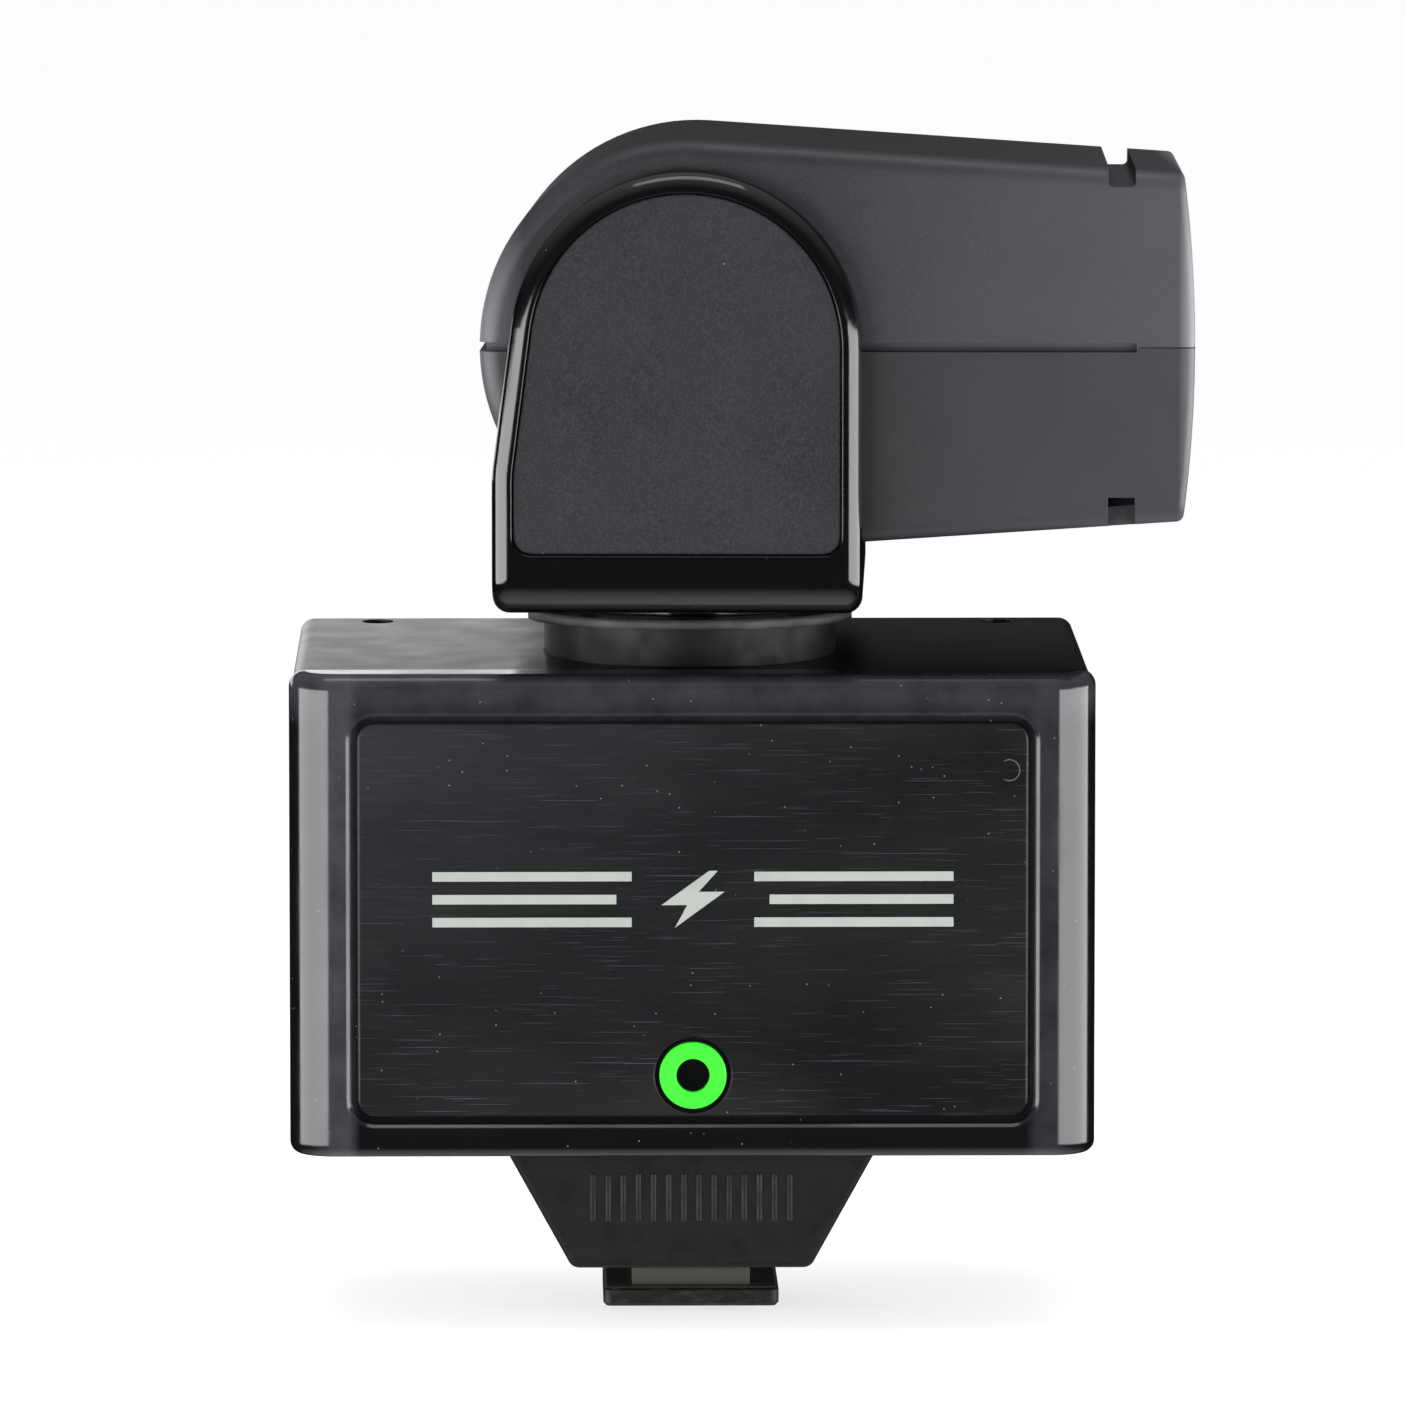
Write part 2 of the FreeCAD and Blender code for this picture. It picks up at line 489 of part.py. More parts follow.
def inner_contacts():
    start = CELL_END - CELL_L
    back = start - 2.6
    parts = []
    for side in (-1, 1):
        y = BAY_Y + side * CELL_PITCH / 2
        plate = box(back, back + 0.5, y - 5.5, y + 5.5, BAY_Z - CELL_PITCH + 2, BAY_Z + CELL_PITCH - 2)
        spring_z = BAY_Z + side * CELL_PITCH / 2
        dimple_z = BAY_Z - side * CELL_PITCH / 2
        dimple = Part.makeCone(3.4, 2.0, 2.0, V(back + 0.5, y, dimple_z), X)
        parts += [join([plate, dimple]), coil(V(back + 0.5, y, spring_z), X, 3.6, 0.3, 2.1, 2)]
    return group(parts)


def battery_door():
    y0 = BAY_Y - CELL_PITCH
    panel = box(SIDE_IN, SIDE_IN + WALL, y0, DOOR_AXIS_Y, BAY_Z - DOOR_HALF, BAY_Z + DOOR_HALF)
    barrel = rod(V(DOOR_AXIS_X, DOOR_AXIS_Y, BAY_Z - DOOR_HALF), Z, WALL / 2, 2 * DOOR_HALF)
    grip = box(SIDE_IN + WALL - 0.2, SIDE_IN + WALL + 0.7, y0 + 2, y0 + 9, BAY_Z - 2.4, BAY_Z + 2.4)
    grip = round_off(grip, 0.45, lambda b: b.XMin > SIDE_IN + WALL + 0.6)
    body = join([panel, barrel, grip])
    return body.cut(rod(V(DOOR_AXIS_X, DOOR_AXIS_Y, 0), Z, HINGE_PIN_R + RUN, 90))


def door_contact():
    plates = []
    for side in (-1, 1):
        z = BAY_Z + side * CELL_PITCH / 2
        plates.append(box(SIDE_IN - 0.4, SIDE_IN, BAY_Y - CELL_PITCH + 2.5, BAY_Y + CELL_PITCH - 2.5,
                          z - 5.5, z + 5.5))
    return group(plates)


def door_hinge_pin():
    return rod(V(DOOR_AXIS_X, DOOR_AXIS_Y, BAY_Z - HINGE_PIN_L / 2), Z, HINGE_PIN_R, HINGE_PIN_L)


def circuit_board():
    board = box(-BOARD_HALF, BOARD_HALF, BOARD_Y, BOARD_Y + BOARD_T, BOARD_LOW, BOARD_TOP)
    rear = BOARD_Y + BOARD_T
    chips = [box(x, x + 7, rear - 0.2, rear + 1.6, BOARD_LOW + z, BOARD_LOW + z + 5)
             for x in (8, 18) for z in (6, 16, 26)]
    cans = [rod(V(x, rear - 0.2, BOARD_LOW + 11), Y, 2.5, 6.4) for x in (-24, -17, -10)]
    return join([board] + chips + cans)


def main_capacitor():
    can = rod(V(CAP_X, CAP_Y, FLOOR_IN), Z, CAP_R, CAP_L)
    return can.makeFillet(0.8, [e for e in can.Edges if e.Closed])


def transformer():
    rear = BOARD_Y + BOARD_T
    low, top = BOARD_TOP - 17.8, BOARD_TOP - 3.8
    core = box(-22, -6, rear, rear + 7.2, low, top)
    core = bevel(core, 0.6, lambda b: b.YLength > 7)
    return core.cut(box(-19, -9, rear + 6.2, rear + 8, low - 1, top + 1))


# ---- swivel ----
COLLAR_SEAT = CASE_TOP + 0.1
TUBE_END = CEILING - 2.6
CLICK_TOP, CLICK_T = TUBE_END - 1.3, 1.2
CLICK_R = SWIVEL_R + 3.3
LUG_R = CLICK_R + 2.2
NUT_R = LUG_R + 0.6
BORE_Z, BORE_L = CLICK_TOP - 12, 40  # start and length of the tools that bore the swivel


def swivel_collar():
    wall = rod(V(0, 0, COLLAR_SEAT), Z, COLLAR_R, COLLAR_TOP - COLLAR_SEAT)
    lip = rod(V(0, 0, COLLAR_TOP - LIP_T), Z, COLLAR_R + COLLAR_LIP, LIP_T)
    lip = round_off(lip, 0.4, lambda b: b.ZMin > COLLAR_TOP - 0.1)
    tube = rod(V(0, 0, TUBE_END), Z, COLLAR_TUBE_R, COLLAR_SEAT - TUBE_END + 0.5)
    return join([wall, lip, tube]).cut(rod(V(0, 0, BORE_Z), Z, SWIVEL_R + RUN, BORE_L))


def wedge(radius, inner, low, high, centre, half):
    """Part of a ring, half degrees each side of the centre angle."""
    a0 = math.radians(centre - half)
    pie = Part.makeCylinder(radius, high - low, V(0, 0, low), Z, 2 * half)
    pie.rotate(V(0, 0, 0), Z, math.degrees(a0))
    return pie.cut(rod(V(0, 0, low - 1), Z, inner, high - low + 2))


def swivel_nut():
    """Ring nut under the case top, with the arc that stops the click plate's lug."""
    nut = ring(V(0, 0, TUBE_END + 0.2), Z, NUT_R, COLLAR_TUBE_R, CEILING - TUBE_END - 0.2)
    arc = wedge(NUT_R, CLICK_R + 0.3, CLICK_TOP - CLICK_T, TUBE_END + 0.5, 135, STOP_ARC)
    return join([nut, arc])


def swivel_click_plate():
    disc = rod(V(0, 0, CLICK_TOP - CLICK_T), Z, CLICK_R, CLICK_T)
    lug = wedge(LUG_R, CABLE_R + 1.5, CLICK_TOP - CLICK_T, CLICK_TOP, 0, STOP_LUG)
    body = join([disc, lug]).cut(rod(V(0, 0, BORE_Z), Z, CABLE_R, BORE_L))
    for x, y in swivel_screw_spots():
        body = body.cut(rod(V(x, y, BORE_Z), Z, 0.85, BORE_L))
    return body


def swivel_screw_spots():
    reach = (SWIVEL_R + CABLE_R) / 2
    return [(reach * math.cos(math.radians(a)), reach * math.sin(math.radians(a))) for a in (60, 180, 300)]


def swivel_washer():
    """Dished spring washer between the collar's tube and the click plate."""
    low, high = CLICK_TOP, TUBE_END - 0.1
    inner, outer = SWIVEL_R + 0.3, SWIVEL_R + 2.9
    points = [V(inner, 0, high - 0.35), V(inner, 0, high), V(outer, 0, low + 0.35), V(outer, 0, low)]
    return Part.Face(Part.makePolygon(points + points[:1])).revolve(V(0, 0, 0), Z, 360)


def swivel_screws():
    return group([screw(V(x, y, CLICK_TOP - CLICK_T), -Z, 1.5, 0.9, 0.8, 6.0)
                  for x, y in swivel_screw_spots()])


# ---- yoke ----
def corner(a, b, c, radius):
    """Start, middle and end of the arc that rounds the corner at b."""
    u, w = (a - b).normalize(), (c - b).normalize()
    half = u.getAngle(w) / 2
    run = radius / math.tan(half)
    bisector = (u + w).normalize()
    centre = b + bisector * (radius / math.sin(half))
    return b + u * run, centre - bisector * radius, b + w * run


def arch_face(inset, low, low_r, y):
    """The yoke's outline, moved in by inset: an arch on a straight front and a kinked rear."""
    r = ARCH_R - inset
    front, rear = PIVOT_X + r, YOKE_REAR + inset
    dx, dz = YOKE_REAR - PIVOT_X, YOKE_KINK_Z - PIVOT_Z
    turn = math.atan2(dz, dx) % (2 * math.pi) - math.acos(ARCH_R / math.hypot(dx, dz))
    tangent = V(PIVOT_X + r * math.cos(turn), y, PIVOT_Z + r * math.sin(turn))
    run = (rear - tangent.x) / -math.sin(turn)
    kink = V(rear, y, tangent.z + run * math.cos(turn))
    spring_line, crown = V(front, y, PIVOT_Z), V(PIVOT_X, y, PIVOT_Z + r)
    p_front, p_rear = V(front, y, low), V(rear, y, low)
    edges = [Part.Arc(spring_line, crown, tangent).toShape()]
    k0, k1, k2 = corner(tangent, kink, p_rear, 12.0)
    edges += [Part.makeLine(tangent, k0), Part.Arc(k0, k1, k2).toShape()]
    if low_r:
        r0, r1, r2 = corner(kink, p_rear, p_front, low_r)
        f0, f1, f2 = corner(p_rear, p_front, spring_line, low_r)
        edges += [Part.makeLine(k2, r0), Part.Arc(r0, r1, r2).toShape(), Part.makeLine(r2, f0),
                  Part.Arc(f0, f1, f2).toShape(), Part.makeLine(f2, spring_line)]
    else:
        edges += [Part.makeLine(k2, p_rear), Part.makeLine(p_rear, p_front),
                  Part.makeLine(p_front, spring_line)]
    return Part.Face(Part.Wire(edges))


def yoke():
    body = arch_face(0, YOKE_LOW, 0, -YOKE_HALF).extrude(V(0, 2 * YOKE_HALF, 0))
    body = round_off(body, 3.9, lambda b: b.ZMax < YOKE_LOW + 0.1 and b.XLength > 20)
    outline = [e for e in body.Edges if not (e.BoundBox.XLength > 20 and e.BoundBox.ZLength < 0.1)
               and not (e.BoundBox.YLength > 50 and e.BoundBox.ZMin > YOKE_LOW + 1)]
    body = body.makeFillet(RIM_R, outline)
    body = body.cut(box(-40, 40, -ARM_IN, ARM_IN, YOKE_LOW + YOKE_FLOOR, 140))
    neck = join([rod(V(0, 0, CLICK_TOP), Z, SWIVEL_R, YOKE_LOW - CLICK_TOP + 1),
                 rod(V(0, 0, COLLAR_TOP + FACE), Z, SWIVEL_R + 1.1, YOKE_LOW - COLLAR_TOP)])
    body = join([body, neck]).cut(rod(V(0, 0, BORE_Z), Z, CABLE_R, BORE_L))
    for x, y in swivel_screw_spots():
        body = body.cut(rod(V(x, y, CLICK_TOP - 1), Z, 0.8, 5.8))
    tools = [rod(V(PIVOT_X, -40, PIVOT_Z), Y, AXLE_R + RUN, 80)]
    for s in (-1, 1):
        tools.append(arch_face(RIM, SIDE_COVER_LOW, 2.0, s * COVER_SEAT).extrude(V(0, s * 3, 0)))
        tools.append(rod(V(PIVOT_X, s * (ARM_IN + 1.1), PIVOT_Z), V(0, s, 0), 9.3, 5))
    return body.cut(Part.makeCompound(tools[:1])).cut(tools[1]).cut(tools[2]).cut(tools[3]).cut(tools[4])


def side_covers():
    covers = []
    for s in (-1, 1):
        cover = arch_face(RIM + 0.15, SIDE_COVER_LOW + 0.15, 1.85, s * COVER_SEAT)
        cover = cover.extrude(V(0, s * SIDE_COVER_T, 0))
        covers.append(round_off(cover, 0.25, lambda b: b.YLength < 0.01
                                and abs(b.YMin - s * (COVER_SEAT + SIDE_COVER_T)) < 0.01))
    return group(covers)


# ---- head ----
def head_outline(inset, reach, y, dome=HEAD_DOME):
    """Side view of the head: drum round the pivot, tapering to a domed front."""
    r, a = DRUM_R - inset, math.radians(HEAD_TAPER)
    sn, cs = math.sin(a), math.cos(a)
    top = V(PIVOT_X + r * sn, y, PIVOT_Z + r * cs)
    low = V(top.x, y, 2 * PIVOT_Z - top.z)
    back = V(PIVOT_X - r, y, PIVOT_Z)
    x = PIVOT_X + reach
    rise = top.z - PIVOT_Z - (x - top.x) * sn / cs
    upper, lower = V(x, y, PIVOT_Z + rise), V(x, y, PIVOT_Z - rise)
    nose = Part.Arc(upper, V(x + dome, y, PIVOT_Z), lower).toShape() if dome else Part.makeLine(upper, lower)
    return Part.Face(Part.Wire([Part.Arc(low, back, top).toShape(), Part.makeLine(top, upper), nose,
                                Part.makeLine(lower, low)]))


def head_solid(inset, reach, half, dome=HEAD_DOME):
    return head_outline(inset, reach, -half, dome).extrude(V(0, 2 * half, 0))


HEAD_SCREW_Y = HEAD_HALF - HEAD_SCREW_IN
HEAD_SCREWS = [(PIVOT_X + x, y) for x in (-HEAD_SCREW_X, HEAD_SCREW_X1)
               for y in (-HEAD_SCREW_Y, HEAD_SCREW_Y)]


def head_height(x):
    """Half height of the head, x millimetres in front of the pivot."""
    a = math.radians(HEAD_TAPER)
    return DRUM_R / math.cos(a) - x * math.tan(a)


def head_shell():
    """Both halves as one, before they are parted."""
    body = head_solid(0, HEAD_REACH, HEAD_HALF)
    nose = PIVOT_X + HEAD_REACH - 1
    body = round_off(body, HEAD_ROUND, lambda b: b.YLength < 0.01 and b.XMin < nose)
    body = round_off(body, 0.8, lambda b: b.XMin > nose + 0.5)
    body = body.cut(head_solid(HEAD_WALL, HEAD_REACH + 5, HEAD_HALF - HEAD_WALL, 0))
    extra = [rod(V(x, y, PIVOT_Z - 30), Z, 2.6, 60) for x, y in HEAD_SCREWS]
    under = PIVOT_Z + head_height(NOTCH_X1) - HEAD_WALL - GROOVE_DEPTH + 0.4
    extra.append(box(PIVOT_X + NOTCH_X0 - 1.5, PIVOT_X + NOTCH_X1 + 1.5, -40, 40, under, under + 9))
    body = join([body] + [e.common(head_solid(HEAD_WALL / 2, HEAD_REACH, HEAD_HALF - 1)) for e in extra])
    tools = [rod(V(PIVOT_X, -40, PIVOT_Z), Y, AXLE_R, 80)]
    # groove at mid height: along both sides and round the drum
    end = PIVOT_X + SEAM_END
    z0, z1 = PIVOT_Z - SEAM_H / 2, PIVOT_Z + SEAM_H / 2
    inner = HEAD_HALF - SEAM_DEPTH
    tools += [box(-40, end, inner, 40, z0, z1), box(-40, end, -40, -inner, z0, z1),
              box(-40, PIVOT_X - DRUM_R + SEAM_DEPTH, -40, 40, z0, z1)]
    # slot for slip-on filters: a groove across the top and a notch in each lower corner
    x0, x1 = PIVOT_X + NOTCH_X0, PIVOT_X + NOTCH_X1
    edge = head_height((NOTCH_X0 + NOTCH_X1) / 2)
    groove = box(x0, x1, -40, 40, PIVOT_Z + edge - GROOVE_DEPTH, PIVOT_Z + 40)
    tools.append(round_off(groove, 0.5, lambda b: b.YLength > 50 and b.ZMax < PIVOT_Z + edge))
    for s in (-1, 1):
        ya, yb = sorted((s * (HEAD_HALF - HEAD_WALL - 0.2), s * 40))
        tools.append(box(x0, x1, ya, yb, PIVOT_Z - 40, PIVOT_Z - edge + NOTCH_DROP))
    for tool in tools:
        body = body.cut(tool)
    return body


def head_upper():
    body = head_shell().common(box(-60, 90, -40, 40, PIVOT_Z, 200))
    for x, y in HEAD_SCREWS:
        body = body.cut(rod(V(x, y, PIVOT_Z - 1), Z, 1.0, 9))
    return body


HEAD_SCREW_SEAT = PIVOT_Z - math.sqrt(DRUM_R ** 2 - HEAD_SCREW_X ** 2) + 3.0


def head_lower():
    body = head_shell().common(box(-60, 90, -40, 40, 0, PIVOT_Z))
    for x, y in HEAD_SCREWS:
        body = body.cut(rod(V(x, y, HEAD_SCREW_SEAT - 20), Z, 1.9, 20))
        body = body.cut(rod(V(x, y, HEAD_SCREW_SEAT - 1), Z, 1.05, 40))
    return body


def head_screws():
    return group([screw(V(x, y, HEAD_SCREW_SEAT), -Z, 1.75, 1.0, 1.0, PIVOT_Z + 7 - HEAD_SCREW_SEAT)
                  for x, y in HEAD_SCREWS])


WINDOW_SET, WINDOW_T = 0.5, 1.8


def front_window():
    """Light panel inside the shells' mouth, with a clip behind each lower notch."""
    side = HEAD_HALF - HEAD_WALL - 0.1
    outer = head_solid(HEAD_WALL + 0.1, HEAD_REACH - WINDOW_SET, side)
    panel = outer.cut(head_solid(0, HEAD_REACH - WINDOW_SET - WINDOW_T, HEAD_HALF))
    clips = []
    tip = head_height(HEAD_REACH) - HEAD_WALL - 0.5
    for s in (-1, 1):
        ya, yb = sorted((s * (side - 0.8), s * side))
        clips.append(box(PIVOT_X + NOTCH_X0 - 1.2, PIVOT_X + HEAD_REACH - WINDOW_SET - 1, ya, yb,
                         PIVOT_Z - tip, PIVOT_Z - tip + 4))
    return join([panel] + clips)


REFLECTOR_HALF, TUBE_R = HEAD_HALF - 4.0, 2.5
TUBE_X, MOUTH_X = HEAD_REACH - 24.5, HEAD_REACH - 6.0
MOUTH = head_height(MOUTH_X) - HEAD_WALL - 1.93
TUBE_END_Y = REFLECTOR_HALF - 0.6    # end of the tube's glass


def trough(shift):
    """Half-open reflector section; shift moves its wall inwards."""
    shape = [(0, 1), (7.5, 0.89), (14.5, 0.678), (20.0, 0.411), (23.1, 0.178)]
    back = PIVOT_X + MOUTH_X + shift
    upper = [V(back - x, 0, PIVOT_Z + MOUTH * z - shift) for x, z in shape]
    lower = [V(p.x, 0, 2 * PIVOT_Z - p.z) for p in reversed(upper)]
    curve = Part.BSplineCurve()
    curve.interpolate(upper + [V(back - 23.9, 0, PIVOT_Z)] + lower)
    face = Part.Face(Part.Wire([curve.toShape(), Part.makeLine(lower[-1], upper[0])]))
    half = REFLECTOR_HALF - shift
    face.translate(V(0, -half, 0))
    return face.extrude(V(0, 2 * half, 0))


def reflector():
    body = trough(0).cut(trough(0.5))
    return body.cut(rod(V(PIVOT_X + TUBE_X, -40, PIVOT_Z), Y, TUBE_R + 0.4, 80))


def flash_tube():
    x = PIVOT_X + TUBE_X
    glass = rod(V(x, -TUBE_END_Y, PIVOT_Z), Y, TUBE_R, 2 * TUBE_END_Y)
    glass = glass.makeFillet(0.9, [e for e in glass.Edges if e.Closed])
    return join([glass, rod(V(x, -TUBE_END_Y - 2, PIVOT_Z), Y, 0.5, 2 * TUBE_END_Y + 4)])


def tube_sleeves():
    x = PIVOT_X + TUBE_X
    return group([ring(V(x, s * (TUBE_END_Y - 1), PIVOT_Z), V(0, s, 0), TUBE_R + 0.4, TUBE_R, 1.0)
                  .fuse(ring(V(x, s * TUBE_END_Y, PIVOT_Z), V(0, s, 0), TUBE_R + 0.4, 0.5, 1.8))
                  .removeSplitter()
                  for s in (-1, 1)])


def trigger_board():
    half = math.sqrt((DRUM_R - HEAD_WALL) ** 2 - 4.5 ** 2) - 0.3
    wide = HEAD_HALF - 11.0
    board = box(PIVOT_X + 4.2, PIVOT_X + 5.6, -wide, wide, PIVOT_Z - half, PIVOT_Z + half)
    coil_can = rod(V(PIVOT_X + 5.4, -5, PIVOT_Z + 5), X, 3.4, 9)
    cap = box(PIVOT_X + 5.4, PIVOT_X + 11, 3, 12, PIVOT_Z - 9, PIVOT_Z - 3)
    return join([board, coil_can, cap])


def tilt_axles():
    axles = []
    for s in (-1, 1):
        flange = HEAD_HALF - HEAD_WALL
        axle = rod(V(PIVOT_X, s * (flange - 1.5), PIVOT_Z), V(0, s, 0), AXLE_R, WASHER_Y - flange + 1.5)
        lip = rod(V(PIVOT_X, s * (flange - 2.2), PIVOT_Z), V(0, s, 0), 6.6, 2.2)
        hole = rod(V(PIVOT_X, s * (WASHER_Y - 4.6), PIVOT_Z), V(0, s, 0), 1.2, 6)
        axles.append(join([axle, lip]).cut(hole))
    return group(axles)


WASHER_Y, WASHER_T = ARM_IN + 1.1 + FACE, 0.8


def tilt_washers():
    return group([ring(V(PIVOT_X, s * WASHER_Y, PIVOT_Z), V(0, s, 0), 8.6, 1.25, WASHER_T)
                  for s in (-1, 1)])


def tilt_screws():
    return group([screw(V(PIVOT_X, s * (WASHER_Y + WASHER_T), PIVOT_Z), V(0, s, 0), 2.6, 0.45, 1.2, 5.2)
                  for s in (-1, 1)])


NODES = {
    "foot": foot, "shoe_block": shoe_block, "foot_screws": foot_screws, "block_screws": block_screws,
    "lock_lever": lock_lever, "lock_pin": lock_pin, "lock_spring": lock_spring,
    "sync_pin": sync_pin, "sync_spring": sync_spring, "contact_bridge": contact_bridge,
    "front_cover": front_cover, "name_plate": name_plate, "sensor_ring": sensor_ring,
    "sensor_cell": sensor_cell, "rear_case": rear_case, "rear_panel": rear_panel,
    "power_switch": lambda: slide_switch(POWER_X, POWER_TRAVEL),
    "mode_switch": lambda: slide_switch(MODE_X, MODE_TRAVEL),
    "test_button": test_button, "test_spring": test_spring, "ready_lamp": ready_lamp,
    "inner_frame": inner_frame, "case_screws": case_screws, "battery_tray": battery_tray,
    "battery_cells": battery_cells, "inner_contacts": inner_contacts, "battery_door": battery_door,
    "door_contact": door_contact, "door_hinge_pin": door_hinge_pin, "circuit_board": circuit_board,
    "main_capacitor": main_capacitor, "transformer": transformer, "swivel_collar": swivel_collar,
    "swivel_nut": swivel_nut, "swivel_click_plate": swivel_click_plate, "swivel_washer": swivel_washer,
    "swivel_screws": swivel_screws, "yoke": yoke, "side_covers": side_covers,
    "head_upper": head_upper, "head_lower": head_lower, "head_screws": head_screws,
    "front_window": front_window, "reflector": reflector, "flash_tube": flash_tube,
    "tube_sleeves": tube_sleeves, "trigger_board": trigger_board, "tilt_axles": tilt_axles,
    "tilt_washers": tilt_washers, "tilt_screws": tilt_screws,
}


TURNED = ["yoke", "side_covers", "swivel_click_plate", "swivel_washer", "swivel_screws", "head_upper",
          "head_lower", "head_screws", "front_window", "reflector", "flash_tube", "tube_sleeves",
          "trigger_board", "tilt_axles", "tilt_washers", "tilt_screws"]


def main():
    os.makedirs("parts", exist_ok=True)
    for name, build in NODES.items():
        shape = build()
        if name in TURNED:
            shape.rotate(V(0, 0, 0), Z, STORED_TURN)
        bad = [s for s in shape.Solids if not (s.isValid() and s.isClosed() and s.Volume > 0)]
        if bad or not shape.Solids:
            raise RuntimeError(name + " isn't a closed, valid solid")
        if len(shape.Solids) == 1:
            shape = shape.Solids[0]
        shape.exportStep("parts/" + name + ".step")
        print(name, len(shape.Solids), round(sum(s.Volume for s in shape.Solids), 2))


main()
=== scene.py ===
import math

import bmesh
import bpy
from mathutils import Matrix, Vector


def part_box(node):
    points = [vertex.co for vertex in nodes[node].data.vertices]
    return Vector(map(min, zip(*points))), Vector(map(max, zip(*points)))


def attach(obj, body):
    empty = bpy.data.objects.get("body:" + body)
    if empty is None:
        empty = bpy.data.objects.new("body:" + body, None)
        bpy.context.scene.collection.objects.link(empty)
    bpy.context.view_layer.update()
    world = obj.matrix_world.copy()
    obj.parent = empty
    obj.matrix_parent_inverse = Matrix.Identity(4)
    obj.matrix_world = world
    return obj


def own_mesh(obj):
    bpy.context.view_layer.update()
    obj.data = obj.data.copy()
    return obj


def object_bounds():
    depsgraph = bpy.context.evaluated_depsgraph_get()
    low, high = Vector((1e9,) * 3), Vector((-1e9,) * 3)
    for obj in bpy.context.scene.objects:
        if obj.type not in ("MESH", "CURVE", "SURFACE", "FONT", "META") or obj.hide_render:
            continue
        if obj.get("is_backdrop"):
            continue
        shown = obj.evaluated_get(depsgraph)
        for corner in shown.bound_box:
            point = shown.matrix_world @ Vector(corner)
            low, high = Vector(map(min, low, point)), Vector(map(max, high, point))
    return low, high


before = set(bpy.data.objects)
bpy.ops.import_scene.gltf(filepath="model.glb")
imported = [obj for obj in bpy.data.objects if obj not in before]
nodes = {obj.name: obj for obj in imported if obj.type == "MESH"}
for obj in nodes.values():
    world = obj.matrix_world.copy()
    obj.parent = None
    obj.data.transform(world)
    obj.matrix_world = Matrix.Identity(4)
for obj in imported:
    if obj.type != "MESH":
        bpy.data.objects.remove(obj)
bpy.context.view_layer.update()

scene = bpy.context.scene
MM = 0.001                  # one millimetre, in the frame's metres


# ---- helpers ----
def colour(code):
    """An sRGB hex colour as the linear values a shader takes."""
    parts = [int(code[i:i + 2], 16) / 255 for i in (1, 3, 5)]
    return [p / 12.92 if p <= 0.04045 else ((p + 0.055) / 1.055) ** 2.4 for p in parts] + [1.0]


def per(size):
    """Pattern scale, on coordinates in metres, that gives this size in millimetres."""
    return 1000.0 / size


def add(tree, kind, sockets=None, **settings):
    """Adds a node, sets its options and fills its sockets: a socket given as a value is linked."""
    node = tree.nodes.new(kind)
    for name, value in settings.items():
        setattr(node, name, value)
    for key, value in (sockets or {}).items():
        if isinstance(value, bpy.types.NodeSocket):
            tree.links.new(value, node.inputs[key])
        else:
            node.inputs[key].default_value = value
    return node


def finish(name, base, roughness, metallic=0.0, ior=1.5, edge=0.12, **sockets):
    """A new material: its tree, its shader and the place on the object that patterns read.

    Edges look rounded by edge millimetres, as moulding and tumbling leave them.
    """
    made = bpy.data.materials.new(name)
    made.use_nodes = True
    tree = made.node_tree
    tree.nodes.clear()
    soft = add(tree, "ShaderNodeBevel", {"Radius": edge * MM})
    shader = add(tree, "ShaderNodeBsdfPrincipled", {
        "Base Color": colour(base), "Roughness": roughness, "Metallic": metallic, "IOR": ior,
        "Normal": soft.outputs[0]})
    for key, value in sockets.items():
        shader.inputs[key.replace("_", " ")].default_value = value
    add(tree, "ShaderNodeOutputMaterial", {"Surface": shader.outputs[0]})
    return made, tree, shader, add(tree, "ShaderNodeTexCoord").outputs["Object"]


def clouds(tree, place, size, low=0.0, high=1.0, to_low=0.0, to_high=1.0, detail=2.0, rough=0.5):
    """Cloudy pattern with lumps of about this size in millimetres, its band low to high stretched."""
    noise = add(tree, "ShaderNodeTexNoise", {
        "Vector": place, "Scale": per(size), "Detail": detail, "Roughness": rough})
    return add(tree, "ShaderNodeMapRange", {
        "Value": noise.outputs["Fac"], "From Min": low, "From Max": high,
        "To Min": to_low, "To Max": to_high}).outputs[0]


def ramp(tree, place, axis, low, high, to_low=0.0, to_high=1.0):
    """Even change along one axis, from low to high millimetres."""
    at = add(tree, "ShaderNodeSeparateXYZ", {"Vector": place}).outputs[axis]
    return add(tree, "ShaderNodeMapRange", {
        "Value": at, "From Min": low * MM, "From Max": high * MM,
        "To Min": to_low, "To Max": to_high}).outputs[0]


def both(tree, *masks):
    """1 where every mask is 1."""
    held = masks[0]
    for mask in masks[1:]:
        held = add(tree, "ShaderNodeMath", {0: held, 1: mask}, operation="MULTIPLY").outputs[0]
    return held


def specks(tree, place, spacing, radius, share):
    """1 on scattered dust specks: this share of cells this far apart holds one of this radius."""
    cell = add(tree, "ShaderNodeTexVoronoi", {"Vector": place, "Scale": per(spacing), "Randomness": 1.0})
    chosen = add(tree, "ShaderNodeSeparateColor", {"Color": cell.outputs["Color"]}).outputs[0]
    near = add(tree, "ShaderNodeMapRange", {
        "Value": cell.outputs["Distance"], "From Min": radius / spacing * 0.6, "From Max": radius / spacing,
        "To Min": 1.0, "To Max": 0.0}).outputs[0]
    held = add(tree, "ShaderNodeMath", {0: chosen, 1: 1.0 - share}, operation="GREATER_THAN").outputs[0]
    return both(tree, near, held)


